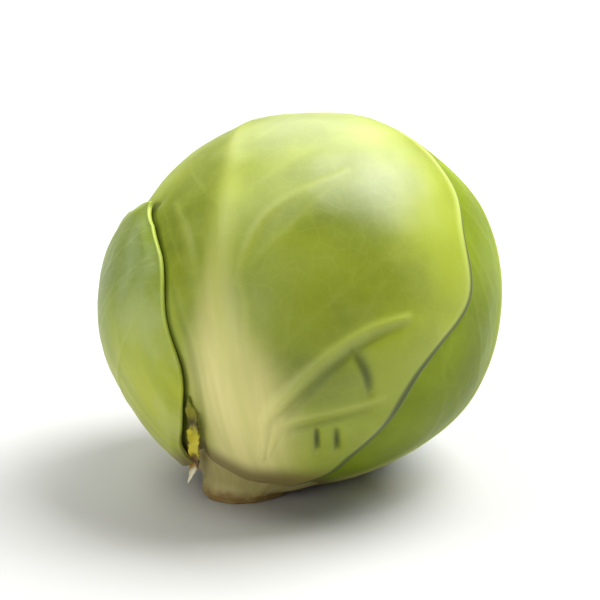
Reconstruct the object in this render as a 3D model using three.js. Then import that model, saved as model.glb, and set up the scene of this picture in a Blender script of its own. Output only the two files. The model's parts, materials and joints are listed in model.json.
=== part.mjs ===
// A Brussels sprout: a cut stalk, a dense inner head and eight wrapper leaves, in millimetres with Z up.
// The sprout lies tilted, on its stalk's oblique cut and on a small flat spot of its lowest leaf.
import * as THREE from "three";

// Driving dimensions
const HEAD_RADIUS = 16.9; // half the head's width, about
const HEAD_CENTRE = new THREE.Vector3(0, 0.43, 16.35); // above the surface it lies on
const LEAN_DEG = 22; // tilt of the axis from the stalk to the tip, away from the vertical
const LEAN_TOWARD_DEG = 44; // which way it tilts, from +X towards +Y
const LEAF_THICKNESS = 0.65;
const LEAF_GAP = 0.32; // air between one leaf and the next
const LEAF_PITCH = LEAF_THICKNESS + LEAF_GAP;
const STALK_RADIUS = 4.1; // at the cut
const STALK_SIDES = 24;
const COLLAR_DEG = 20; // the leaves' bases stop this far round from the stalk's axis

// How leaves lie over each other, in degrees seen from the head's centre
const DRAPE_FROM_DEG = 5; // a leaf stays raised this far past the edge of one below it
const DRAPE_TO_DEG = 24; // and is down again here
const SWELL_DEG = 38; // the layers' thickness is evened out this far to both sides of each edge
const CROWDING = 1.15; // all three shrink towards the stalk, where the leaves crowd together,
const CROWDING_LEAST = 0.3; // down to this share

// Grid of a leaf: columns follow its midrib and rows its side veins
const LEAF_COLUMNS = 16;
const LEAF_ROWS = 20;
const COLUMNS_TO_EDGES = 1.15; // above 1, the columns are closer together at the midrib than at the edges
const EDGE_STEPS = 110; // points along each edge for measuring how far away it is
const COLLAR_HALVINGS = 24; // steps in the search for a leaf's lowest point
const VEIN_RISE = 1.32; // how steeply the side veins climb away from the midrib
const TIP_DROP_DEG = 7; // the corners of a leaf's tip lie this far below its middle
const EDGE_WAVE_DEG = 1.3; // how far a leaf's edge waves in and out
const EDGE_WAVE_LENGTH_DEG = 42;
const RIB_HEIGHT = 1.1; // of the midrib at the base
const RIB_HEIGHT_AT_TIP = 0.15;
const RIB_FALL = 0.7; // below 1, the midrib loses most of its height near the base
const RIB_WIDTH = 0.5; // of the midrib at the base, as a share of the half leaf
const RIB_WIDTH_BEYOND = 0.075;
const RIB_NARROWS_BY = 0.45; // of the way up the leaf
const SIDE_VEIN_HEIGHT = 0.28;

// The head's outline from its tip (0 degrees) to its stalk (180 degrees), as shares of HEAD_RADIUS
const OUTLINE = [
  [0, 0.9],
  [35, 0.95],
  [60, 0.99],
  [85, 1],
  [110, 1.015],
  [125, 0.995],
  [140, 0.97],
  [155, 0.975],
  [180, 0.99],
];

// Swellings and hollows of that outline: place on the head, height in mm, width in degrees
const LOBES = [
  { polar: 70, round: 5, height: 0.2, width: 38 },
  { polar: 78, round: 178, height: -0.7, width: 38 },
  { polar: 48, round: 175, height: -2.3, width: 36 },
  { polar: 30, round: 5, height: 0.5, width: 28 },
  { polar: 128, round: 2, height: -0.6, width: 27 },
  { polar: 150, round: -170, height: 0.3, width: 26 },
  { polar: 148, round: -45, height: -0.8, width: 24 },
];

// The leaves from the innermost to the outermost. Each has a centre on the head, in degrees from the tip and
// round the axis from +X towards +Y, and a turn, clockwise from pointing at the tip. Its midrib and its two
// edges are drawn on a map round that centre: degrees up the leaf, then degrees to the right, from outside.
const LEAVES = [
  {
    name: "leaf_crown_front",
    colour: "#dfe79a",
    polar: 62,
    round: -55,
    turn: 0,
    rib: [[-60, 2], [0, 4], [64, 10]],
    left: [[-90, -14], [-60, -38], [-20, -52], [20, -50], [48, -34], [64, -6]],
    right: [[-90, 14], [-60, 38], [-20, 54], [20, 54], [48, 42], [64, 24]],
  },
  {
    name: "leaf_crown_back",
    colour: "#cfdc86",
    polar: 60,
    round: 88,
    turn: 0,
    rib: [[-60, 0], [0, -5], [72, -12]],
    left: [[-92, -14], [-60, -36], [-20, -52], [20, -54], [52, -44], [72, -24]],
    right: [[-92, 14], [-60, 36], [-20, 50], [20, 48], [52, 30], [72, 2]],
  },
  {
    name: "leaf_inner_left",
    colour: "#c8d67c",
    polar: 78,
    round: -142,
    turn: 0,
    rib: [[-60, 0], [0, 5], [60, 6]],
    left: [[-76, -18], [-50, -40], [-15, -56], [20, -52], [46, -34], [60, -12]],
    right: [[-76, 18], [-50, 40], [-15, 56], [20, 56], [46, 42], [60, 24]],
  },
  {
    name: "leaf_right",
    colour: "#b4c455",
    polar: 84,
    round: 4,
    turn: 0,
    rib: [[-60, -1], [0, -5], [76, 4]],
    left: [[-72, -20], [-52, -38], [-28, -54], [5, -64], [35, -60], [60, -42], [76, -14]],
    right: [[-72, 20], [-52, 40], [-28, 54], [5, 62], [35, 59], [60, 44], [76, 20]],
  },
  {
    name: "leaf_back_left",
    colour: "#a8bd5a",
    polar: 90,
    round: 130,
    turn: 0,
    rib: [[-60, 0], [0, 4], [68, -6]],
    left: [[-68, -18], [-50, -36], [-20, -56], [12, -60], [42, -48], [60, -30], [68, -18]],
    right: [[-68, 18], [-50, 38], [-20, 58], [12, 60], [42, 46], [60, 24], [68, 8]],
  },
  {
    name: "leaf_front",
    colour: "#a9b952",
    polar: 84,
    round: -103,
    turn: -18,
    rib: [[-73, -20], [-62, -13.5], [-46, -10.5], [-26, -11], [-8, -12.6], [15, -12.4], [38, -13.5],
      [65, -16], [100, -12]],
    left: [[-72, -42], [-35, -54], [3, -60], [34, -63], [62, -60], [85, -47], [100, -28]],
    right: [[-80, -4], [-71, 16], [-60, 26], [-36, 44], [-23, 55], [-12, 64], [0, 68], [18, 68], [36, 65],
      [56, 57], [75, 42], [88, 24], [100, 0]],
  },
  {
    name: "leaf_back_right",
    colour: "#6f8a42",
    polar: 92,
    round: 64,
    turn: 0,
    rib: [[-60, 0], [-20, 5], [28, 6], [58, 2]],
    left: [[-66, -20], [-50, -33], [-25, -40], [5, -41], [32, -35], [50, -22], [58, -9]],
    right: [[-66, 20], [-50, 40], [-25, 56], [5, 62], [32, 54], [50, 34], [58, 15]],
  },
  {
    name: "leaf_left",
    colour: "#8fa23e",
    polar: 95,
    round: 165,
    turn: 0,
    rib: [[-60, 1], [-20, 8], [5, 20], [22, 36]],
    left: [[-64, -16], [-50, -34], [-25, -50], [-10, -44], [2, -18], [12, 12], [22, 30]],
    right: [[-70, 14], [-64, 27], [-56, 45], [-43, 57], [-26, 63], [-10, 62], [5, 55], [16, 43], [22, 38]],
  },
];

// Small leaves packed at the inner head's tip, as steps in its surface: place, half-width in degrees
const BUD_LEAVES = [
  { polar: 30, round: 20, reach: 34 },
  { polar: 28, round: 155, reach: 31 },
  { polar: 24, round: -75, reach: 27 },
];
const BUD_STEP = 0.45;
const BUD_STEP_DEG = 5; // the steps' slope is this wide
const BUD_CLEARANCE = 0.15; // more air round the inner head, whose faces are larger than the leaves'
const BUD_SIDES = 30;
const BUD_RINGS = 17;
const SEAT_DEG = [20, 32]; // round the stalk, the inner head sits flat on it and then rounds off
const SEAT_LIMIT_DEG = 45;

// The stalk, by distance below the head's centre along the axis
const STALK_TOP = 12.6;
const STALK_PROFILE = [
  { along: STALK_TOP, radius: 3.7 },
  { along: 13.6, radius: 4.35 },
  { along: 15.2, radius: 5.05 },
  { along: 16.1, radius: 5.3 },
  { along: 16.7, radius: 4.5 },
];
const STALK_RIDGES = 3; // round the stalk, twisting from ring to ring
const STALK_RIDGE_SHARE = 0.03;
const STALK_TWIST_DEG = 40;
const CUT_BEVEL = 0.3; // the cut's edge is bevelled by this height
const CUT_BEVEL_SHARE = 1.04; // and this much wider above
const CUT_CLEARANCE = 0.5; // the rings above stay this far off the floor

const rad = THREE.MathUtils.degToRad;
const deg = THREE.MathUtils.radToDeg;
const smoothstep = THREE.MathUtils.smoothstep;
const lerp = THREE.MathUtils.lerp;
const clamp = THREE.MathUtils.clamp;

// The head's axes: TIP runs from the stalk to the tip, SIDE and BEHIND lie across it
const TIP = new THREE.Vector3(
  Math.sin(rad(LEAN_DEG)) * Math.cos(rad(LEAN_TOWARD_DEG)),
  Math.sin(rad(LEAN_DEG)) * Math.sin(rad(LEAN_TOWARD_DEG)),
  Math.cos(rad(LEAN_DEG)),
);
const SIDE = new THREE.Vector3(1, 0, 0).addScaledVector(TIP, -TIP.x).normalize();
const BEHIND = new THREE.Vector3().crossVectors(TIP, SIDE);
const STALKWARD = TIP.clone().negate();

// A smooth curve through [place, value] points, read at one place
function through(points, place) {
  const last = points.length - 1;
  let i = 0;
  while (i < last - 1 && place > points[i + 1][0]) i += 1;
  const slope = (k) => {
    const a = points[Math.max(k - 1, 0)];
    const b = points[Math.min(k + 1, last)];
    return (b[1] - a[1]) / (b[0] - a[0]);
  };
  const span = points[i + 1][0] - points[i][0];
  const t = clamp((place - points[i][0]) / span, 0, 1);
  const from = points[i][1] * (1 + 2 * t) * (1 - t) ** 2 + slope(i) * span * t * (1 - t) ** 2;
  const to = points[i + 1][1] * (3 - 2 * t) * t ** 2 - slope(i + 1) * span * (1 - t) * t ** 2;
  return from + to;
}

function sum(numbers) {
  return numbers.reduce((total, number) => total + number, 0);
}

// The unit direction at `polar` degrees from the tip and `round` degrees round the axis
function toward(polar, round) {
  const across = Math.sin(rad(polar));
  return new THREE.Vector3()
    .addScaledVector(TIP, Math.cos(rad(polar)))
    .addScaledVector(SIDE, across * Math.cos(rad(round)))
    .addScaledVector(BEHIND, across * Math.sin(rad(round)));
}

// The angle between two unit directions, in degrees
function between(a, b) {
  return deg(Math.acos(clamp(a.dot(b), -1, 1)));
}

// The outer surface that the whole head is grown to, as a distance from its centre
function headSurface(direction) {
  let reach = HEAD_RADIUS * through(OUTLINE, between(direction, TIP));
  for (const lobe of LOBES) {
    const away = between(direction, toward(lobe.polar, lobe.round));
    reach += lobe.height * Math.exp(-((away / lobe.width) ** 2));
  }
  return Math.min(reach, aboveFloor(direction));
}

// How far the surface may reach in a direction before it meets the floor
function aboveFloor(direction) {
  return direction.z < 0 ? HEAD_CENTRE.z / -direction.z : Infinity;
}

// A leaf's map: the direction of a point x degrees right and y degrees up from the leaf's centre
function onMap(leaf, x, y) {
  const away = rad(Math.hypot(x, y));
  const spread = away > 0 ? Math.sin(away) / away : 1;
  return new THREE.Vector3()
    .addScaledVector(leaf.centre, Math.cos(away))
    .addScaledVector(leaf.up, rad(y) * spread)
    .addScaledVector(leaf.rightHand, rad(x) * spread);
}

// The same map the other way: the x and y of a direction
function fromMap(leaf, direction) {
  const away = between(direction, leaf.centre);
  const bearing = Math.atan2(direction.dot(leaf.rightHand), direction.dot(leaf.up));
  return [away * Math.sin(bearing), away * Math.cos(bearing)];
}

// The x of a column, which runs from the left edge (-1) over the midrib (0) to the right edge (1)
function columnX(leaf, column, y) {
  const wave = EDGE_WAVE_DEG * Math.sin((2 * Math.PI * y) / EDGE_WAVE_LENGTH_DEG + leaf.polar);
  const edge = through(column < 0 ? leaf.left : leaf.right, y) + wave;
  return lerp(through(leaf.rib, y), edge, Math.abs(column));
}

// Where a column ends: the tip's edge is rounded
function columnEnd(leaf, column) {
  return leaf.rib[leaf.rib.length - 1][0] - TIP_DROP_DEG * column ** 2;
}

// Where a column starts: its lowest y that is clear of the collar round the stalk
function columnStart(leaf, column) {
  let low = leaf.rib[0][0];
  let high = 0;
  for (let i = 0; i < COLLAR_HALVINGS; i += 1) {
    const middle = (low + high) / 2;
    const place = onMap(leaf, columnX(leaf, column, middle), middle);
    if (between(place, STALKWARD) > COLLAR_DEG) high = middle;
    else low = middle;
  }
  return high;
}

// The direction of a grid point: `column` from -1 to 1, `row` from 0 at the base to 1 at the tip
function gridPoint(leaf, column, row) {
  const top = columnEnd(leaf, column);
  const level = lerp(columnStart(leaf, column), top, row);
  const fromRib = Math.abs(columnX(leaf, column, level) - through(leaf.rib, level));
  const climb = VEIN_RISE * fromRib * row * (1 - row);
  const y = Math.min(level + climb, top);
  return onMap(leaf, columnX(leaf, column, y), y);
}

// Sets up a leaf's axes and the points of its edge, which run together at the stalk
function prepare(leaf) {
  const turn = rad(leaf.turn);
  leaf.centre = toward(leaf.polar, leaf.round);
  const up = TIP.clone().addScaledVector(leaf.centre, -TIP.dot(leaf.centre)).normalize();
  const right = new THREE.Vector3().crossVectors(up, leaf.centre);
  leaf.up = up.clone().multiplyScalar(Math.cos(turn)).addScaledVector(right, Math.sin(turn));
  leaf.rightHand = right.clone().multiplyScalar(Math.cos(turn)).addScaledVector(up, -Math.sin(turn));
  const [x, y] = fromMap(leaf, STALKWARD);
  for (const line of [leaf.rib, leaf.left, leaf.right]) line.unshift([y, x]);
  leaf.edge = [];
  for (let i = 0; i <= EDGE_STEPS; i += 1) {
    const across = (2 * i) / EDGE_STEPS - 1;
    const top = columnEnd(leaf, across);
    leaf.edge.push(onMap(leaf, columnX(leaf, across, top), top));
    for (const side of [-1, 1]) {
      const level = lerp(y, columnEnd(leaf, side), i / EDGE_STEPS);
      leaf.edge.push(onMap(leaf, columnX(leaf, side, level), level));
    }
  }
}

// Degrees from a direction to a leaf's edge: positive outside the leaf, negative inside
function pastEdge(leaf, direction) {
  let nearest = -1;
  for (const point of leaf.edge) nearest = Math.max(nearest, point.dot(direction));
  const away = deg(Math.acos(clamp(nearest, -1, 1)));
  const [x, y] = fromMap(leaf, direction);
  const fromRib = x - through(leaf.rib, y);
  const side = fromRib < 0 ? -1 : 1;
  const column = fromRib / Math.abs(columnX(leaf, side, y) - through(leaf.rib, y));
  const inside = Math.abs(column) < 1 && y > leaf.rib[0][0] && y < columnEnd(leaf, column);
  const crowded = clamp(CROWDING * Math.sin(rad(between(direction, TIP))), CROWDING_LEAST, 1);
  return (inside ? -away : away) / crowded;
}

// How much of a layer each leaf adds under those that lie over it: 1 on it, 0 well away from it
function layersAt(direction) {
  return LEAVES.map((leaf) => 1 - smoothstep(pastEdge(leaf, direction), DRAPE_FROM_DEG, DRAPE_TO_DEG));
}

// The surface that the innermost leaf lies on
function coreSurface(direction) {
  const evened = LEAVES.map((leaf) => 1 - smoothstep(pastEdge(leaf, direction), -SWELL_DEG, SWELL_DEG));
  return headSurface(direction) - LEAF_PITCH * sum(evened);
}

function geometryOf(positions) {
  const attribute = new THREE.Float32BufferAttribute(positions, 3);
  return new THREE.BufferGeometry().setAttribute("position", attribute);
}

// A closed mesh between two grids of points, `columns` + 1 by `rows` + 1 each, split into triangles alike
function blade(outer, inner, columns, rows) {
  const positions = [];
  const at = (grid, c, r) => positions.push(...grid[r * (columns + 1) + c].toArray());
  const triangle = (a, b, c) => [a, b, c].forEach(([grid, column, row]) => at(grid, column, row));
  for (let r = 0; r < rows; r += 1) {
    for (let c = 0; c < columns; c += 1) {
      triangle([outer, c, r], [outer, c + 1, r], [outer, c + 1, r + 1]);
      triangle([outer, c, r], [outer, c + 1, r + 1], [outer, c, r + 1]);
      triangle([inner, c, r], [inner, c + 1, r + 1], [inner, c + 1, r]);
      triangle([inner, c, r], [inner, c, r + 1], [inner, c + 1, r + 1]);
    }
  }
  const rim = [];
  for (let c = 0; c < columns; c += 1) rim.push([c, 0]);
  for (let r = 0; r < rows; r += 1) rim.push([columns, r]);
  for (let c = columns; c > 0; c -= 1) rim.push([c, rows]);
  for (let r = rows; r > 0; r -= 1) rim.push([0, r]);
  rim.forEach((here, i) => {
    const next = rim[(i + 1) % rim.length];
    triangle([outer, ...here], [inner, ...here], [inner, ...next]);
    triangle([outer, ...here], [inner, ...next], [outer, ...next]);
  });
  return geometryOf(positions);
}

// The relief of a leaf's outer face: a midrib that thins towards the tip, and side veins on every other row
function relief(column, row, rowNumber) {
  const ribWidth = lerp(RIB_WIDTH, RIB_WIDTH_BEYOND, smoothstep(row, 0, RIB_NARROWS_BY));
  const ribHeight = lerp(RIB_HEIGHT, RIB_HEIGHT_AT_TIP, row ** RIB_FALL);
  const rib = ribHeight * Math.exp(-((column / ribWidth) ** 2));
  const vein = rowNumber % 2 ? SIDE_VEIN_HEIGHT * Math.sin(Math.PI * row) * (1 - column ** 6) : 0;
  return Math.max(rib, vein);
}

// A wrapper leaf, draped over those before it in the list
function wrapperLeaf(leaf, index) {
  const outer = [];
  const inner = [];
  for (let r = 0; r <= LEAF_ROWS; r += 1) {
    for (let c = 0; c <= LEAF_COLUMNS; c += 1) {
      const across = (2 * c) / LEAF_COLUMNS - 1;
      const column = Math.sign(across) * Math.abs(across) ** COLUMNS_TO_EDGES;
      const row = r / LEAF_ROWS;
      const direction = gridPoint(leaf, column, row);
      const layers = layersAt(direction);
      const below = layers.slice(0, index);
      const above = layers.slice(index + 1);
      const bare = 1 - Math.max(0, ...above);
      const reach = coreSurface(direction) + LEAF_PITCH * (1 + sum(below));
      const height = reach + bare * relief(column, row, r);
      const room = aboveFloor(direction) - LEAF_PITCH * sum(above);
      const outerReach = Math.min(height, room);
      const innerReach = Math.min(reach, room) - LEAF_THICKNESS;
      outer.push(HEAD_CENTRE.clone().addScaledVector(direction, outerReach));
      inner.push(HEAD_CENTRE.clone().addScaledVector(direction, innerReach));
    }
  }
  return blade(outer, inner, LEAF_COLUMNS, LEAF_ROWS);
}

// A closed mesh through rings of points, from one end's middle point to the other's
function ringsToMesh(first, rings, last) {
  const positions = [];
  const triangle = (...points) => points.forEach((point) => positions.push(...point.toArray()));
  const sides = rings[0].length;
  for (let s = 0; s < sides; s += 1) {
    const n = (s + 1) % sides;
    triangle(first, rings[0][s], rings[0][n]);
    for (let r = 0; r + 1 < rings.length; r += 1) {
      triangle(rings[r][s], rings[r + 1][s], rings[r + 1][n]);
      triangle(rings[r][s], rings[r + 1][n], rings[r][n]);
    }
    const end = rings[rings.length - 1];
    triangle(last, end[n], end[s]);
  }
  return geometryOf(positions);
}

// The inner head: a firm ball with the edges of its smallest leaves stepping round its tip
function innerHead() {
  const surface = (polar, round) => {
    const direction = toward(polar, round);
    let reach = coreSurface(direction) - BUD_STEP * BUD_LEAVES.length - BUD_CLEARANCE;
    for (const bud of BUD_LEAVES) {
      const past = between(direction, toward(bud.polar, bud.round)) - bud.reach;
      reach += BUD_STEP * (1 - smoothstep(past, 0, BUD_STEP_DEG));
    }
    const fromStalk = 180 - polar;
    const seat = (STALK_TOP - LEAF_GAP) / Math.cos(rad(Math.min(fromStalk, SEAT_LIMIT_DEG)));
    const seated = Math.min(reach, lerp(seat, reach, smoothstep(fromStalk, ...SEAT_DEG)));
    return HEAD_CENTRE.clone().addScaledVector(direction, seated);
  };
  const rings = [];
  for (let r = 1; r <= BUD_RINGS; r += 1) {
    const polar = (180 * r) / (BUD_RINGS + 1);
    rings.push(Array.from({ length: BUD_SIDES }, (_, s) => surface(polar, (360 * s) / BUD_SIDES)));
  }
  return ringsToMesh(surface(0, 0), rings, surface(180, 0));
}

// The stalk: a stub that flares to where the leaves grow from it, cut off level with the floor
function stalk() {
  const outward = (round) => toward(90, round);
  const place = (along, radius, round) =>
    HEAD_CENTRE.clone().addScaledVector(STALKWARD, along).addScaledVector(outward(round), radius);
  const slideAbove = (point, height) =>
    point.z < height ? point.addScaledVector(TIP, (height - point.z) / TIP.z) : point;
  const rings = STALK_PROFILE.map(({ along, radius }, i) =>
    Array.from({ length: STALK_SIDES }, (_, s) => {
      const round = (360 * s) / STALK_SIDES;
      const ridge = 1 + STALK_RIDGE_SHARE * Math.cos(rad(STALK_RIDGES * round + STALK_TWIST_DEG * i));
      return slideAbove(place(along, radius * ridge, round), CUT_CLEARANCE);
    }),
  );
  const cut = (radius, round, height) => {
    const point = place(0, radius, round);
    return point.addScaledVector(STALKWARD, (point.z - height) / TIP.z);
  };
  const cutRing = (radius, height) =>
    Array.from({ length: STALK_SIDES }, (_, s) => cut(radius, (360 * s) / STALK_SIDES, height));
  rings.push(cutRing(STALK_RADIUS * CUT_BEVEL_SHARE, CUT_BEVEL));
  rings.push(cutRing(STALK_RADIUS, 0));
  return ringsToMesh(place(STALK_TOP, 0, 0), rings, cut(0, 0, 0));
}

const group = new THREE.Group();

// Adds one named piece of the sprout in its own colour
function add(name, geometry, colour, roughness) {
  const material = new THREE.MeshStandardMaterial({ color: colour, roughness, metalness: 0 });
  const mesh = new THREE.Mesh(geometry, material);
  mesh.name = name;
  group.add(mesh);
}

LEAVES.forEach(prepare);
add("stalk", stalk(), "#cfc48a", 0.6);
add("inner_head", innerHead(), "#e3e6a8", 0.5);
LEAVES.forEach((leaf, index) => add(leaf.name, wrapperLeaf(leaf, index), leaf.colour, 0.4));

export default group;
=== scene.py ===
"""A trimmed Brussels sprout that lies on its cut stalk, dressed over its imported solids.

The classes work in millimetres and degrees, and the meshes are in metres. Places on the round head are
directions from its centre, and each leaf is drawn on a flat map of the head round the leaf's own centre.
"""
import sys
import json
import logging
import math
from dataclasses import dataclass, field
from enum import Enum
from functools import partial

import bpy
import numpy as np
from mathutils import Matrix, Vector


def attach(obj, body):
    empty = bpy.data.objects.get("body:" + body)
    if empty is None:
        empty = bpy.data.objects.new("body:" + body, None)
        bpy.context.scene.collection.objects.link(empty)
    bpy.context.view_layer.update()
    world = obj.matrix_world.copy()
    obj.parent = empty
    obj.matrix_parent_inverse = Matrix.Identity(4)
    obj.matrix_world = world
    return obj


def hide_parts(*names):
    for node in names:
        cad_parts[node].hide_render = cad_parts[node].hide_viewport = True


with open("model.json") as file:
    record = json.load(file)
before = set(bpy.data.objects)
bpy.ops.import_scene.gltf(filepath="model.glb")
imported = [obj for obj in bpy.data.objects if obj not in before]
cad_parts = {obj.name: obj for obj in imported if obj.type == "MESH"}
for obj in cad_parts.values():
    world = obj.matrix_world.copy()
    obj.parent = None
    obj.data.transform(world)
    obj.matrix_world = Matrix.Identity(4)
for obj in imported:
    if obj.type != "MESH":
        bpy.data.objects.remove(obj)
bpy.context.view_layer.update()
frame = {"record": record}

Array = np.ndarray
Pair = tuple[float, float]
Triple = tuple[float, float, float]
Line = tuple[Pair, ...]
Socket = bpy.types.NodeSocket

LOG = logging.getLogger("sprout")
MM = 0.001

# The leaf tones that its finish mixes in, and the attributes that only the blade's tree reads
LEAF_TONES = ("tone", "base", "rim", "scar", "heart", "foot", "film")
FORM_ATTRIBUTES = ("way", "free", "vein", "depth_mm")
# The least fall of a direction that meets the floor, a distance past any other, and the gap that is merged
LEVEL = 1e-6
FAR_MM = 1e6
MERGE_M = 2e-6


# Curves and fields

def smoothstep(value: Array, low: float, high: float) -> Array:
    """Rises smoothly from 0 at low to 1 at high."""
    t = np.clip((value - low) / (high - low), 0.0, 1.0)
    return t * t * (3.0 - 2.0 * t)


def lerp(start: Array, end: Array, share: Array) -> Array:
    """Goes from start to end by share."""
    return start + (end - start) * share


def along_curve(points: Line, places: Array) -> Array:
    """Reads a smooth curve through (place, value) points.

    Args:
        points: The points, in rising order of place.
        places: Where to read the curve.

    Returns:
        The curve's value at each place, held level past both ends.
    """
    place, value = np.array(points, float).T
    last = len(place) - 1
    ahead = np.minimum(np.arange(last + 1) + 1, last)
    behind = np.maximum(np.arange(last + 1) - 1, 0)
    slope = (value[ahead] - value[behind]) / (place[ahead] - place[behind])
    i = np.searchsorted(place[1:-1], places, side="left")
    span = place[i + 1] - place[i]
    t = np.clip((places - place[i]) / span, 0.0, 1.0)
    start = value[i] * (1 + 2 * t) * (1 - t) ** 2 + slope[i] * span * t * (1 - t) ** 2
    end = value[i + 1] * (3 - 2 * t) * t**2 - slope[i + 1] * span * (1 - t) * t**2
    return start + end


def blurred(grid: Array, cells: int) -> Array:
    """Averages each point of a grid with its neighbours, up to a number of cells away along both axes."""
    for axis in (0, 1):
        ends = [(0, 0), (0, 0)]
        ends[axis] = (cells + 1, cells)
        total = np.cumsum(np.pad(grid, ends, mode="edge"), axis)
        width = 2 * cells + 1
        after = np.take(total, range(width, total.shape[axis]), axis)
        before = np.take(total, range(total.shape[axis] - width), axis)
        grid = (after - before) / width
    return grid


def degrees_between(ways: Array, way: Array) -> Array:
    """Gives the angle from each direction to one direction."""
    return np.degrees(np.arccos(np.clip(ways @ way, -1.0, 1.0)))


def linear(hex_colour: str) -> tuple[float, float, float, float]:
    """Turns an sRGB hex value such as "#88981f" into the linear colour that a shader takes."""
    channels = [int(hex_colour[i : i + 2], 16) / 255 for i in (1, 3, 5)]
    r, g, b = (c / 12.92 if c <= 0.04045 else ((c + 0.055) / 1.055) ** 2.4 for c in channels)
    return r, g, b, 1.0


# Node trees

def add_node(
    tree: bpy.types.NodeTree,
    kind: str,
    settings: dict[str, object] | None = None,
    inputs: dict[str | int, object] | None = None,
) -> bpy.types.Node:
    """Adds a node to a shader or geometry tree.

    Args:
        tree: The tree that it goes in.
        kind: The node's type name in Blender.
        settings: Its own properties, by name.
        inputs: Its sockets, by name or number, each with a constant or the output that feeds it.

    Returns:
        The node.
    """
    node = tree.nodes.new(kind)
    for name, value in (settings or {}).items():
        setattr(node, name, value)
    for key, value in (inputs or {}).items():
        socket = node.inputs[key]
        if isinstance(value, Socket):
            tree.links.new(value, socket)
        else:
            socket.default_value = value
    return node


def empty_tree(material: bpy.types.Material) -> bpy.types.NodeTree:
    """Clears a material's tree for its own nodes.

    Args:
        material: The material.

    Returns:
        Its tree, with no node in it.
    """
    material.use_nodes = True
    material.node_tree.nodes.clear()
    return material.node_tree


# Finishes

# Settings that several nodes share: a map with soft ends, a mix of colours, cell walls and glowing flesh
SOFT = {"interpolation_type": "SMOOTHSTEP"}
COLOURS = {"data_type": "RGBA"}
CELLS = {"feature": "DISTANCE_TO_EDGE", "voronoi_dimensions": "2D"}
FLESH = {"subsurface_method": "RANDOM_WALK"}


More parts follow.
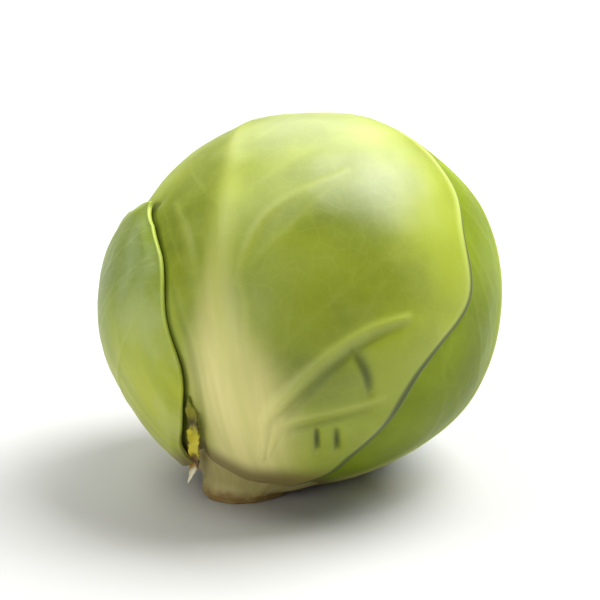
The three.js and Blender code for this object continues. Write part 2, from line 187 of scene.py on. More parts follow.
@dataclass(frozen=True)
class LeafFinish:
    """Living cabbage leaf: a waxed green skin over pale ribs, which go creamy towards the stalk."""

    name: str
    blade: str
    deep: str
    vein: str
    base: str
    # Pale colour of the leaf edges, partly the paler edge itself and partly painted highlight
    rim: str
    # Pale colour of the wax bloom, which is also the colour of the painted highlight
    bloom_and_highlight_colour: str = "#cfdcc0"
    bloom_share: float = 0.25
    # Dark colour of scars, and of painted shade in grooves, folds and under leaf edges
    scar: str = "#39460a"
    foot: str = "#7f6d3a"
    net: float = 0.1
    # How much deeper green the middle of the blade is, partly painted shade
    heart: float = 0.45
    roughness: Pair = (0.36, 0.5)
    wax: float = 0.42

    def material(self) -> bpy.types.Material:
        """Builds the material.

        Returns:
            A material that reads the leaf's own map and tones.
        """
        material = bpy.data.materials.new(self.name)
        add = partial(add_node, empty_tree(material))
        place = add("ShaderNodeTexCoord").outputs["Object"]
        on_leaf = add("ShaderNodeAttribute", {"attribute_name": "map_mm"}).outputs["Vector"]
        tones = {}
        for name in LEAF_TONES:
            tones[name] = add("ShaderNodeAttribute", {"attribute_name": name}).outputs["Fac"]
        # Cloudy patches of deeper green, about 9 mm across
        cloud = add("ShaderNodeTexNoise", inputs={"Vector": place, "Scale": 110.0, "Detail": 3.0})
        clouds = add("ShaderNodeMapRange", SOFT, {0: cloud.outputs[0], 1: 0.36, 2: 0.68, 3: 0.0, 4: 0.5})
        # The blade is deeper green in its middle than by its edges: partly its own colour and partly painted
        # shade on the middle, which faces away from the lamps
        deeper = add(
            "ShaderNodeMath", {"operation": "MULTIPLY_ADD"},
            {0: tones["heart"], 1: self.heart, 2: clouds.outputs[0]},
        )
        greens = {0: deeper.outputs[0], 6: linear(self.blade), 7: linear(self.deep)}
        colour = add("ShaderNodeMix", COLOURS, greens)
        # The smallest veins make a net with 1.6 mm meshes, and a finer one inside it
        warp = add("ShaderNodeTexNoise", inputs={"Vector": on_leaf, "Scale": 0.7, "Detail": 2.0})
        warped = add(
            "ShaderNodeVectorMath", {"operation": "MULTIPLY_ADD"},
            {0: warp.outputs["Color"], 1: (1.6, 1.6, 0.0), 2: on_leaf},
        )
        walls = []
        for scale, width, share in ((0.62, 0.13, self.net), (1.7, 0.16, self.net * 0.5)):
            cells = add("ShaderNodeTexVoronoi", CELLS, {"Vector": warped.outputs[0], "Scale": scale})
            wall = {0: cells.outputs["Distance"], 1: 0.0, 2: width, 3: share, 4: 0.0}
            walls.append(add("ShaderNodeMapRange", SOFT, wall).outputs[0])
        net = add("ShaderNodeMath", {"operation": "MAXIMUM"}, {0: walls[0], 1: walls[1]})
        # The creamy base is streaked along the leaf by fibres about 2 mm apart
        fibres = add("ShaderNodeVectorMath", {"operation": "MULTIPLY"}, {0: on_leaf, 1: (0.5, 0.05, 0.0)})
        streak = add("ShaderNodeTexNoise", inputs={"Vector": fibres.outputs[0], "Scale": 1.0, "Detail": 2.0})
        streaks = add("ShaderNodeMapRange", SOFT, {0: streak.outputs[0], 1: 0.3, 2: 0.65, 3: 0.72, 4: 1.0})
        creamy = add("ShaderNodeMath", {"operation": "MULTIPLY"}, {0: tones["base"], 1: streaks.outputs[0]})
        # Wax bloom: a thin whitish film, patchy at about 5 mm, rubbed off in places
        film = add("ShaderNodeTexNoise", inputs={"Vector": place, "Scale": 190.0, "Detail": 5.0})
        patches = add(
            "ShaderNodeMapRange", SOFT, {0: film.outputs[0], 1: 0.35, 2: 0.7, 3: 0.0, 4: self.bloom_share}
        )
        # The bloom patches, plus a painted highlight that the leaf's tones place
        bloom_and_highlight_share = add("ShaderNodeMath", {"operation": "ADD"}, {0: patches.outputs[0], 1: tones["film"]})
        # One over the other: the net, the veins, the creamy base, the tan foot at the stalk, the bloom with
        # the painted highlight, the pale rim, which is partly painted highlight, and the dark of scars and
        # painted shade
        for share, over in (
            (net.outputs[0], self.vein), (tones["tone"], self.vein), (creamy.outputs[0], self.base),
            (tones["foot"], self.foot), (bloom_and_highlight_share.outputs[0], self.bloom_and_highlight_colour), (tones["rim"], self.rim),
            (tones["scar"], self.scar),
        ):
            colour = add("ShaderNodeMix", COLOURS, {0: share, 6: colour.outputs[2], 7: linear(over)})
        low, high = self.roughness
        rough = add("ShaderNodeMapRange", SOFT, {0: film.outputs[0], 1: 0.3, 2: 0.7, 3: low, 4: high})
        # Leaf skin: pores and cells at about 0.3 mm, with the net standing slightly proud
        pores = add("ShaderNodeTexNoise", inputs={"Vector": place, "Scale": 3200.0, "Detail": 2.0})
        heights = {0: pores.outputs[0], 1: 0.12, 2: net.outputs[0]}
        skin = add("ShaderNodeMath", {"operation": "MULTIPLY_ADD"}, heights).outputs[0]
        bump = add("ShaderNodeBump", inputs={"Height": skin, "Strength": 0.35, "Distance": 0.00012})
        shader = add(
            "ShaderNodeBsdfPrincipled", FLESH,
            {
                "Base Color": colour.outputs[2],
                "Roughness": rough.outputs[0],
                "Normal": bump.outputs[0],
                "IOR": 1.42,
                "Specular IOR Level": self.wax,
                "Subsurface Weight": 0.12,
                "Subsurface Radius": (1.0, 1.0, 0.3),
                "Subsurface Scale": 0.0009,
            },
        )
        add("ShaderNodeOutputMaterial", inputs={"Surface": shader.outputs[0]})
        return material


@dataclass(frozen=True)
class CutStalkFinish:
    """Trimmed sprout stalk: a firm cream skin with darker fibres, which browns at the knife's cut."""

    name: str = "cut_sprout_stalk"
    skin: str = "#c2b47a"
    streak: str = "#a39a58"
    browned: str = "#8a6f3a"

    def material(self) -> bpy.types.Material:
        """Builds the material, which reads the stalk's own `cut` and `map_mm` attributes."""
        material = bpy.data.materials.new(self.name)
        add = partial(add_node, empty_tree(material))
        place = add("ShaderNodeTexCoord").outputs["Object"]
        along = add("ShaderNodeAttribute", {"attribute_name": "map_mm"}).outputs["Vector"]
        cut = add("ShaderNodeAttribute", {"attribute_name": "cut"}).outputs["Fac"]
        fibre = add("ShaderNodeTexNoise", inputs={"Vector": along, "Scale": 1.1, "Detail": 4.0}).outputs[0]
        colour = add("ShaderNodeMix", COLOURS, {0: fibre, 6: linear(self.skin), 7: linear(self.streak)})
        # The cut is browned in mottles about 1 mm across
        mottle = add("ShaderNodeTexNoise", inputs={"Vector": place, "Scale": 900.0, "Detail": 4.0})
        brown = add("ShaderNodeMath", {"operation": "MULTIPLY"}, {0: cut, 1: mottle.outputs[0]})
        brown = add("ShaderNodeMapRange", SOFT, {0: brown.outputs[0], 1: 0.08, 2: 0.5})
        browned = {0: brown.outputs[0], 6: colour.outputs[2], 7: linear(self.browned)}
        bump = add("ShaderNodeBump", inputs={"Height": fibre, "Strength": 0.5, "Distance": 0.0002})
        shader = add(
            "ShaderNodeBsdfPrincipled", FLESH,
            {
                "Base Color": add("ShaderNodeMix", COLOURS, browned).outputs[2],
                "Roughness": 0.55,
                "Normal": bump.outputs[0],
                "IOR": 1.42,
                "Subsurface Weight": 0.15,
                "Subsurface Radius": (1.0, 0.8, 0.4),
                "Subsurface Scale": 0.001,
            },
        )
        add("ShaderNodeOutputMaterial", inputs={"Surface": shader.outputs[0]})
        return material


@dataclass(frozen=True)
class TornLeafFinish:
    """Torn leaf gone limp: olive where it still joins, yellow, browned at the tear, white at its dry end."""

    name: str = "torn_sprout_leaf"
    stops: tuple[tuple[float, str], ...] = (
        (0.0, "#7c8418"), (0.14, "#8f8a1c"), (0.24, "#4a3d10"), (0.34, "#cfc22c"), (0.55, "#d3c436"),
        (0.66, "#8a6b1c"), (0.74, "#2e2410"), (0.82, "#b98a34"), (0.9, "#efe8c8"), (1.0, "#f7f3e2"),
    )

    def material(self) -> bpy.types.Material:
        """Builds the material, which reads how far each point lies along the strip."""
        material = bpy.data.materials.new(self.name)
        add = partial(add_node, empty_tree(material))
        place = add("ShaderNodeTexCoord").outputs["Object"]
        along = add("ShaderNodeAttribute", {"attribute_name": "along"}).outputs["Fac"]
        # Blotches about 0.8 mm across break up the bands of colour
        spots = {"Vector": place, "Scale": 1250.0, "Detail": 3.0}
        blotch = add("ShaderNodeTexNoise", inputs=spots).outputs[0]
        shifted = add("ShaderNodeMath", {"operation": "MULTIPLY_ADD"}, {0: blotch, 1: 0.2, 2: along})
        centred = add("ShaderNodeMath", {"operation": "SUBTRACT"}, {0: shifted.outputs[0], 1: 0.1})
        ramp = add("ShaderNodeValToRGB", inputs={"Fac": centred.outputs[0]})
        while len(ramp.color_ramp.elements) < len(self.stops):
            ramp.color_ramp.elements.new(0.5)
        for element, (at, colour) in zip(ramp.color_ramp.elements, self.stops):
            element.position, element.color = at, linear(colour)
        bump = add("ShaderNodeBump", inputs={"Height": blotch, "Strength": 0.6, "Distance": 0.0002})
        looks = {"Base Color": ramp.outputs["Color"], "Roughness": 0.5, "Normal": bump.outputs[0]}
        shader = add("ShaderNodeBsdfPrincipled", inputs=looks)
        add("ShaderNodeOutputMaterial", inputs={"Surface": shader.outputs[0]})
        return material


@dataclass(frozen=True)
class PaperFinish:
    """Matte white paper, as a studio floor."""

    name: str = "studio_paper"
    tone: str = "#bfbfbd"

    def material(self) -> bpy.types.Material:
        """Builds the material."""
        material = bpy.data.materials.new(self.name)
        add = partial(add_node, empty_tree(material))
        looks = {"Base Color": linear(self.tone), "Roughness": 0.8, "Specular IOR Level": 0.2}
        shader = add("ShaderNodeBsdfPrincipled", inputs=looks)
        add("ShaderNodeOutputMaterial", inputs={"Surface": shader.outputs[0]})
        return material


class LeafKind(Enum):
    """The finishes of the leaves, from the pale inside to the weathered outside, with a darker copy of the
    fresh one that paints shade.
    """

    INNER = LeafFinish(
        "inner_sprout_leaf", "#c9d56a", "#b2c24a", "#e4e8a8", "#e6e3b0", "#dfe88c", bloom_share=0.12,
    )
    # Its bloom colour is also the painted highlight on the front leaf
    FRESH = LeafFinish(
        "fresh_sprout_leaf", "#99a62a", "#66730a", "#bcc45e", "#e2d88f", "#d6e484",
        bloom_and_highlight_colour="#e4eabc", bloom_share=0.03, net=0.05, heart=0.5, roughness=(0.38, 0.43), wax=0.55,
    )
    # A darker, less glossy copy of the fresh finish: painted shade for the leaf on the right
    SIDE = LeafFinish(
        "shaded_side_sprout_leaf", "#84970f", "#62720a", "#a8b74c", "#d4cf84", "#cfdf5c",
        bloom_share=0.0, net=0.04, roughness=(0.42, 0.55), wax=0.2,
    )
    OUTER = LeafFinish(
        "outer_sprout_leaf", "#7e9022", "#60741a", "#abb858", "#bcc43a", "#cfdf5c",
        bloom_and_highlight_colour="#c3ccb0", bloom_share=0.24, net=0.07, wax=0.4,
    )
    DARK = LeafFinish(
        "dark_sprout_leaf", "#5f7a3c", "#4a6630", "#a9bb74", "#b6b97e", "#9fb45e",
        bloom_and_highlight_colour="#b9c9b4", bloom_share=0.42, net=0.35,
    )


# The round head and the leaves on it

@dataclass(frozen=True)
class Lobe:
    """A swelling or hollow of the head's outline, as seen from the tip."""

    polar_deg: float
    around_deg: float
    height_mm: float
    width_deg: float


@dataclass
class HeadForm:
    """The round form that the leaves are grown on, with its axes from the stalk to the tip."""

    radius_mm: float = 16.9
    centre_mm: Triple = (0.0, 0.43, 16.35)
    lean_deg: float = 22.0
    lean_toward_deg: float = 44.0
    outline: Line = (
        (0, 0.9), (35, 0.95), (60, 0.99), (85, 1), (110, 1.015), (125, 0.995), (140, 0.97), (155, 0.975),
        (180, 0.99),
    )
    lobes: tuple[Lobe, ...] = (
        Lobe(70, 5, 0.2, 38),
        Lobe(78, 178, -0.7, 38),
        Lobe(48, 175, -2.3, 36),
        Lobe(30, 5, 0.5, 28),
        Lobe(128, 2, -0.6, 27),
        Lobe(150, -170, 0.3, 26),
        Lobe(148, -45, -0.8, 24),
    )
    centre: Array = field(init=False)
    tip: Array = field(init=False)
    side: Array = field(init=False)
    behind: Array = field(init=False)

    def __post_init__(self) -> None:
        """Sets up the axes."""
        lean, round_z = math.radians(self.lean_deg), math.radians(self.lean_toward_deg)
        self.centre = np.array(self.centre_mm)
        self.tip = np.array(
            [math.sin(lean) * math.cos(round_z), math.sin(lean) * math.sin(round_z), math.cos(lean)]
        )
        across = np.array([1.0, 0.0, 0.0]) - self.tip * self.tip[0]
        self.side = across / np.linalg.norm(across)
        self.behind = np.cross(self.tip, self.side)

    @property
    def mm_per_degree(self) -> float:
        """Gives the length of one degree on the head's surface."""
        return math.radians(self.radius_mm)

    def toward(self, polar_deg: Array, around_deg: Array) -> Array:
        """Gives the unit directions at angles from the tip and round the axis."""
        polar, around = np.radians(polar_deg)[..., None], np.radians(around_deg)[..., None]
        across = np.cos(around) * self.side + np.sin(around) * self.behind
        return np.cos(polar) * self.tip + np.sin(polar) * across

    def above_floor(self, ways: Array) -> Array:
        """Gives how far a surface may reach in each direction before it meets the floor."""
        falls = ways[:, 2] < -LEVEL
        return np.where(falls, self.centre[2] / np.where(falls, -ways[:, 2], LEVEL), FAR_MM)

    def surface(self, ways: Array) -> Array:
        """Gives the distance from the centre to the head's outer surface in each direction."""
        reach = self.radius_mm * along_curve(self.outline, degrees_between(ways, self.tip))
        for lobe in self.lobes:
            away = degrees_between(ways, self.toward(lobe.polar_deg, lobe.around_deg))
            reach = reach + lobe.height_mm * np.exp(-((away / lobe.width_deg) ** 2))
        return np.minimum(reach, self.above_floor(ways))


@dataclass(frozen=True)
class DrawnVein:
    """A vein, fold or scar that is drawn, as (up, right) degrees on its leaf's map."""

    line: Line
    half_width_mm: Pair
    height_mm: Pair
    tone: float = 1.0
    # The dark tone: a mark of its own in the slits, painted shade in the grooves and the fold
    scar: float = 0.0


@dataclass(frozen=True)
class LeafPlan:
    """Where a leaf lies, its midrib and edges as (up, right) degrees on its map, and how it has grown.

    Its lines run from the base to the tip. Edge lifts are for the left edge, the right edge and the tip.
    """

    node: str
    polar_deg: float
    around_deg: float
    rib: Line
    left: Line
    right: Line
    kind: LeafKind = LeafKind.FRESH
    turn_deg: float = 0.0
    collar_deg: float = 18.0
    columns: int = 190
    rows: int = 200
    rib_half_mm: Line = ((-60, 3.2), (-40, 1.6), (-10, 0.9), (30, 0.5), (75, 0.25))
    rib_height_mm: float = 0.9
    rib_tone: Pair = (0.9, 0.5)
    vein_count: int = 9
    vein_height_mm: float = 0.2
    vein_tone: float = 0.55
    blister_mm: float = 0.16
    edge_lift_mm: Triple = (-0.22, -0.22, -0.22)
    # A pale rim along the edges, partly painted highlight where they catch the light
    rim_tone: float = 0.45
    rim_mm: Pair = (0.05, 0.4)
    # How dark the painted shade along the right margin is
    painted_margin_shade: float = 0.0
    base_half_mm: Line = ((-70, 4.6), (-50, 3.2), (-35, 1.9), (-15, 0.8))
    base_rows: Pair = (0.04, 0.34)
    base_shift_mm: float = 0.0
    # How strong a painted highlight, in the bloom colour, lies towards the tip on the right half
    film: float = 0.0
    seed: int = 1
    drawn: tuple[DrawnVein, ...] = ()
    swells: tuple[DrawnVein, ...] = ()


@dataclass
class LeafMap:
    """A leaf's map of the head: degrees right and up from the leaf's centre, as seen from outside."""

    head: HeadForm
    plan: LeafPlan
    tip_drop_deg: float = 7.0
    vein_rise: float = 1.32
    edge_wave_deg: float = 1.3
    edge_wave_length_deg: float = 42.0
    crowding: float = 1.15
    least_crowd: float = 0.3
    edge_steps: int = 200
    halvings: int = 24
    batches: int = 8

    def __post_init__(self) -> None:
        """Sets up the map's axes, runs its lines to the stalk and samples its edge."""
        plan, tip = self.plan, self.head.tip
        turn = math.radians(plan.turn_deg)
        self.centre = self.head.toward(plan.polar_deg, plan.around_deg)
        up = tip - self.centre * (tip @ self.centre)
        up /= np.linalg.norm(up)
        right = np.cross(up, self.centre)
        self.up = up * math.cos(turn) + right * math.sin(turn)
        self.right_hand = right * math.cos(turn) - up * math.sin(turn)
        x, y = self.from_map(-tip[None, :])
        foot = ((float(y[0]), float(x[0])),)
        self.rib, self.left, self.right = foot + plan.rib, foot + plan.left, foot + plan.right
        across = np.linspace(-1.0, 1.0, self.edge_steps + 1)
        top = self.column_end(across)
        edge = [self.on_map(self.column_x(across, top), top)]
        for side in (-1.0, 1.0):
            column = np.full(self.edge_steps + 1, side)
            level = lerp(foot[0][0], self.column_end(column), np.linspace(0.0, 1.0, self.edge_steps + 1))
            edge.append(self.on_map(self.column_x(column, level), level))
        self.edge = np.concatenate(edge)

    def on_map(self, x: Array, y: Array) -> Array:
        """Gives the direction of each point of the map."""
        away = np.radians(np.hypot(x, y))
        spread = np.radians(np.sinc(away / np.pi))
        return (
            np.cos(away)[..., None] * self.centre
            + (y * spread)[..., None] * self.up
            + (x * spread)[..., None] * self.right_hand
        )

    def from_map(self, ways: Array) -> tuple[Array, Array]:
        """Gives the x and y on the map of each direction."""
        away = degrees_between(ways, self.centre)
        bearing = np.arctan2(ways @ self.right_hand, ways @ self.up)
        return away * np.sin(bearing), away * np.cos(bearing)

    def column_x(self, column: Array, y: Array) -> Array:
        """Gives the x of a column: -1 is the left edge, 0 the midrib and 1 the right edge."""
        wave = self.edge_wave_deg * np.sin(2 * np.pi * y / self.edge_wave_length_deg + self.plan.polar_deg)
        edge = np.where(column < 0, along_curve(self.left, y), along_curve(self.right, y)) + wave
        return lerp(along_curve(self.rib, y), edge, np.abs(column))

    def column_end(self, column: Array) -> Array:
        """Gives the y where each column ends, on the rounded edge of the tip."""
        return self.rib[-1][0] - self.tip_drop_deg * column**2

    def column_start(self, column: Array) -> Array:
        """Gives the y where each column starts, clear of the collar round the stalk."""
        low, high = np.full_like(column, self.rib[0][0]), np.zeros_like(column)
        for _ in range(self.halvings):
            middle = (low + high) / 2
            way = self.on_map(self.column_x(column, middle), middle)
            clear = degrees_between(way, -self.head.tip) > self.plan.collar_deg
            low, high = np.where(clear, low, middle), np.where(clear, middle, high)
        return high

    def column_at(self, x: Array, y: Array) -> Array:
        """Gives the column that each point of the map lies on."""
        rib = along_curve(self.rib, y)
        side = np.where(x < rib, -1.0, 1.0)
        return (x - rib) / np.abs(self.column_x(side, y) - rib)

    def grid(self, columns: Array, rows: Array) -> tuple[Array, Array]:
        """Lays a grid over the leaf, with columns along the midrib and rows along the side veins.

        Args:
            columns: Places from -1 at the left edge to 1 at the right edge.
            rows: Places from 0 at the base to 1 at the tip.

        Returns:
            The x and the y of each grid point, by row and column.
        """
        row, column = np.meshgrid(rows, columns, indexing="ij")
        top = self.column_end(column)
        level = lerp(self.column_start(columns)[None, :], top, row)
        from_rib = np.abs(self.column_x(column, level) - along_curve(self.rib, level))
        y = np.minimum(level + self.vein_rise * from_rib * row * (1 - row), top)
        return self.column_x(column, y), y

    def past_edge(self, ways: Array) -> Array:
        """Measures how far each direction lies outside the leaf's edge.

        Args:
            ways: Unit directions from the head's centre.

        Returns:
            Degrees, negative inside the leaf, and stretched near the stalk where the leaves crowd.
        """
        parts = np.array_split(ways, self.batches)
        nearest = np.concatenate([(part @ self.edge.T).max(1) for part in parts])
        away = np.degrees(np.arccos(np.clip(nearest, -1.0, 1.0)))
        x, y = self.from_map(ways)
        column = self.column_at(x, y)
        inside = (np.abs(column) < 1) & (y > self.rib[0][0]) & (y < self.column_end(column))
        crowd = self.crowding * np.sin(np.radians(degrees_between(ways, self.head.tip)))
        return np.where(inside, -away, away) / np.clip(crowd, self.least_crowd, 1.0)


@dataclass
class LeafStack:
    """The wrapper leaves in the order that they lie, and the surfaces between them."""

    head: HeadForm
    plans: tuple[LeafPlan, ...]
    pitch_mm: float = 0.97
    drape_from_deg: float = 5.0
    drape_to_deg: float = 24.0
    swell_deg: float = 38.0
    bare_deg: float = 4.5
    bare_room_mm: float = 0.8

    def __post_init__(self) -> None:
        """Draws a map for each leaf."""
        self.maps = [LeafMap(self.head, plan) for plan in self.plans]

    def past_edges(self, ways: Array) -> Array:
        """Measures each direction against every leaf's edge, by leaf and direction."""
        return np.stack([leaf.past_edge(ways) for leaf in self.maps])

    def core(self, ways: Array, past: Array) -> Array:
        """Gives the surface that the innermost leaf lies on."""
        evened = 1 - smoothstep(past, -self.swell_deg, self.swell_deg)
        return self.head.surface(ways) - self.pitch_mm * evened.sum(0)

    def lie(self, index: int, ways: Array) -> tuple[Array, Array, Array]:
        """Lays a leaf over those before it.

        Args:
            index: The leaf's place in the stack.
            ways: Unit directions of the leaf's points.

        Returns:
            How far the leaf's outer face reaches, how bare it is (0 under another leaf or on the floor), and
            how many degrees lie between it and the nearest leaf over it.
        """
        past = self.past_edges(ways)
        layers = 1 - smoothstep(past, self.drape_from_deg, self.drape_to_deg)
        reach = self.core(ways, past) + self.pitch_mm * (1 + layers[:index].sum(0))
        room = self.head.above_floor(ways) - self.pitch_mm * layers[index + 1 :].sum(0)
        past_cover = past[index + 1 :].min(0, initial=180.0)
        bare = smoothstep(past_cover, 0.0, self.bare_deg)
        bare = bare * smoothstep(room - reach, 0.0, self.bare_room_mm)
        return np.minimum(reach, room), bare, past_cover


# This sprout's leaves, from the inside out
LEAF_PLANS = (
    LeafPlan(
        "leaf_crown_front", 62, -55,
        rib=((-60, 2), (0, 4), (64, 10)),
        left=((-90, -14), (-60, -38), (-20, -52), (20, -50), (48, -34), (64, -6)),
        right=((-90, 14), (-60, 38), (-20, 54), (20, 54), (48, 42), (64, 24)),
        kind=LeafKind.INNER, seed=3, columns=150, rows=160,
    ),
    LeafPlan(
        "leaf_crown_back", 60, 88,
        rib=((-60, 0), (0, -5), (72, -12)),
        left=((-92, -14), (-60, -36), (-20, -52), (20, -54), (52, -44), (72, -24)),
        right=((-92, 14), (-60, 36), (-20, 50), (20, 48), (52, 30), (72, 2)),
        kind=LeafKind.INNER, seed=4, columns=170, rows=180,
    ),
    LeafPlan(
        "leaf_inner_left", 78, -142,
        rib=((-60, 0), (0, 5), (60, 6)),
        left=((-76, -18), (-50, -40), (-15, -56), (20, -52), (46, -34), (60, -12)),
        right=((-76, 18), (-50, 40), (-15, 56), (20, 56), (46, 42), (60, 24)),
        kind=LeafKind.INNER, seed=5, columns=120, rows=120,
    ),
    LeafPlan(
        "leaf_right", 84, 4,
        rib=((-60, -1), (0, -5), (76, 4)),
        left=((-72, -34), (-52, -50), (-28, -60), (5, -64), (35, -60), (60, -42), (76, -14)),
        right=((-72, 20), (-52, 40), (-28, 54), (5, 62), (35, 59), (60, 44), (76, 20)),
        kind=LeafKind.SIDE, vein_tone=0.1, vein_height_mm=0.06, seed=6,
    ),
    LeafPlan(
        "leaf_back_left", 90, 130,
        rib=((-60, 0), (0, 4), (68, -6)),
        left=((-68, -18), (-50, -36), (-20, -56), (12, -60), (42, -48), (60, -30), (68, -18)),
        right=((-68, 18), (-50, 38), (-20, 58), (12, 60), (42, 46), (60, 24), (68, 8)),
        seed=7,
    ),
    LeafPlan(
        "leaf_front", 84, -103, turn_deg=-18,
        rib=(
            (-73, -20), (-62, -13.5), (-46, -10.5), (-26, -11), (-8, -12.6), (15, -12.4), (38, -13.5),
            (65, -19), (100, -16),
        ),
        left=((-72, -42), (-35, -54), (3, -60), (34, -63), (62, -60), (85, -47), (100, -28)),
        right=(
            (-80, -4), (-71, 16), (-60, 26), (-36, 44), (-23, 55), (-12, 64), (0, 68), (18, 68), (36, 65),
            (56, 57), (75, 42), (88, 24), (100, 0),
        ),
        rib_half_mm=((-70, 4.3), (-60, 3.9), (-46, 2.5), (-24, 1.7), (-5, 1.45), (40, 1.3), (90, 1.0)),
        rib_height_mm=0.6, rib_tone=(0.62, 0.12),
        base_half_mm=((-70, 5.4), (-55, 4.9), (-42, 4.9), (-28, 4.3), (-12, 2.4), (5, 1.3)),
        base_rows=(0.16, 0.54), base_shift_mm=0.4,
        # On this leaf the right margin has painted shade, the blade a painted highlight towards its tip, and
        # the pale rim is partly painted highlight
        edge_lift_mm=(-0.1, 0.0, -0.1), rim_tone=0.5, rim_mm=(0.4, 1.5), painted_margin_shade=0.9, film=0.11,
        vein_count=6, vein_height_mm=0.03, vein_tone=0.1, blister_mm=0.13,
        collar_deg=22.0, columns=210, rows=220, seed=8,
        drawn=(
            # The two strong side veins at the lower right, the faint one above them and the one at the left
            DrawnVein(
                ((-61, -6), (-52, -2), (-43.8, 2.9), (-40.1, 19.1), (-37.5, 34.2)),
                (0.6, 0.3), (0.3, 0.15), 0.5,
            ),
            DrawnVein(
                ((-58, -7), (-48, -4), (-39.8, -0.8), (-23.2, 17.5), (-15.7, 30.5), (-12.8, 41.5)),
                (0.7, 0.32), (0.5, 0.2), 0.6,
            ),
            DrawnVein(
                (
                    (-60, -8), (-40, -5.5), (-24, -4.5), (-8, -5), (2.1, -6.8), (18.2, 0.8), (27.5, 13.6),
                    (34, 24),
                ),
                (0.7, 0.35), (0.12, 0.06), 0.32,
            ),
            DrawnVein(
                ((-60, -17), (-40, -17), (-24, -17.5), (-2, -21), (15, -27), (27, -34)),
                (0.9, 0.5), (0.15, 0.08), 0.3,
            ),
            # The grooves under the strong side veins, darkened with painted shade
            DrawnVein(
                ((-43, 2), (-27.5, 18.5), (-19.8, 30), (-16.5, 38)), (0.5, 0.35), (-0.35, -0.15), 0.0, 0.3,
            ),
            DrawnVein(((-48, 5), (-44, 19.5), (-41, 31)), (0.4, 0.3), (-0.25, -0.1), 0.0, 0.25),
            # The groove beside the left leaf's edge, darkened with painted shade from that edge
            DrawnVein(
                ((-66, -37.5), (-43, -26.8), (-24, -24.5), (-10, -28), (4, -33)),
                (0.9, 0.3), (-0.4, 0.0), 0.0, 0.2,
            ),
            # Two slits and a crack in the blade near the stalk; the crack is a soft fold whose dark is
            # painted shade
            DrawnVein(((-47.4, 12.9), (-57.0, 12.1)), (0.3, 0.3), (-0.3, -0.3), 0.0, 0.9),
            DrawnVein(((-47.9, 19.1), (-57.0, 18.7)), (0.3, 0.3), (-0.3, -0.3), 0.0, 0.9),
            DrawnVein(((-22.5, 25.5), (-28, 28.3), (-35.5, 30.2)), (0.55, 0.4), (-0.4, -0.25), 0.0, 0.75),
        ),
        swells=(
            # The blade bulges between the veins, and sinks beside the midrib
            DrawnVein(((-38, 10), (-30, 24)), (2.0, 2.2), (0.3, 0.35)),
            DrawnVein(((-52, 22), (-48, 34)), (1.6, 1.8), (0.25, 0.2)),
            DrawnVein(((-26, 36), (-18, 46)), (1.8, 2.2), (0.2, 0.25)),
            DrawnVein(((-20, 4), (2, 4), (20, 14)), (1.8, 2.0), (0.15, 0.2)),
            DrawnVein(((-20, -14), (0, -17), (18, -20)), (1.4, 1.6), (-0.15, -0.12)),
            DrawnVein(((28, -6), (30, 8), (34, 22)), (1.3, 1.6), (-0.12, -0.15)),
        ),
    ),
    LeafPlan(
        "leaf_back_right", 92, 64,
        rib=((-60, 0), (-20, 5), (28, 6), (58, 2)),
        left=((-66, -20), (-50, -33), (-25, -40), (5, -41), (32, -35), (50, -22), (58, -9)),
        right=((-66, 20), (-50, 40), (-25, 56), (5, 62), (32, 54), (50, 34), (58, 15)),
        kind=LeafKind.DARK, seed=9,
    ),
    LeafPlan(
        "leaf_left", 95, 165,
        rib=((-60, 1), (-20, 8), (5, 20), (22, 36)),
        left=((-64, -16), (-50, -34), (-25, -50), (-10, -44), (2, -18), (12, 12), (22, 30)),
        right=(
            (-70, 14), (-64, 27), (-56, 45), (-43, 57), (-26, 63), (-10, 62), (5, 55), (16, 43), (22, 38),
        ),
        kind=LeafKind.OUTER, seed=10,
        # Its pale rim is partly painted highlight
        edge_lift_mm=(-0.22, -0.36, -0.36), rim_tone=0.5, rim_mm=(0.05, 0.3),
        vein_tone=0.16, vein_height_mm=0.08,
        base_half_mm=((-70, 26), (-50, 26), (-35, 24), (-15, 22)), base_rows=(0.12, 0.66),
    ),
)


# Veins

@dataclass
class Vein:
    """One vein as points on the leaf's map, in mm, with its size at both ends."""

    points: Array
    half_width_mm: Pair
    height_mm: Pair
    tone: float
    scar: float = 0.0

    def nearest(self, places: Array) -> tuple[Array, Array]:
        """Finds the nearest point of the vein.

        Args:
            places: Points of the map, in mm.

        Returns:
            The distance to the vein, and how far along it the nearest point lies, from 0 to 1.
        """
        steps = np.linalg.norm(np.diff(self.points, axis=0), axis=1)
        passed = np.concatenate([[0.0], np.cumsum(steps)])
        away, share = np.full(len(places), FAR_MM), np.zeros(len(places))
        for i, length in enumerate(steps):
            start, run = self.points[i], self.points[i + 1] - self.points[i]
            t = np.clip((places - start) @ run / length**2, 0.0, 1.0)
            gap = np.linalg.norm(places - start - t[:, None] * run, axis=1)
            closer = gap < away
            away = np.where(closer, gap, away)
            share = np.where(closer, (passed[i] + t * length) / passed[-1], share)
        return away, share

    def rise(self, places: Array) -> tuple[Array, Array, Array]:
        """Reads the vein's relief.

        Args:
            places: Points of the map, in mm.

        Returns:
            The height in mm, the distance across the vein in half widths, and the share along it.
        """
        away, share = self.nearest(places)
        across = away / lerp(*self.half_width_mm, share)
        return lerp(*self.height_mm, share) * np.exp(-(across**2)), across, share


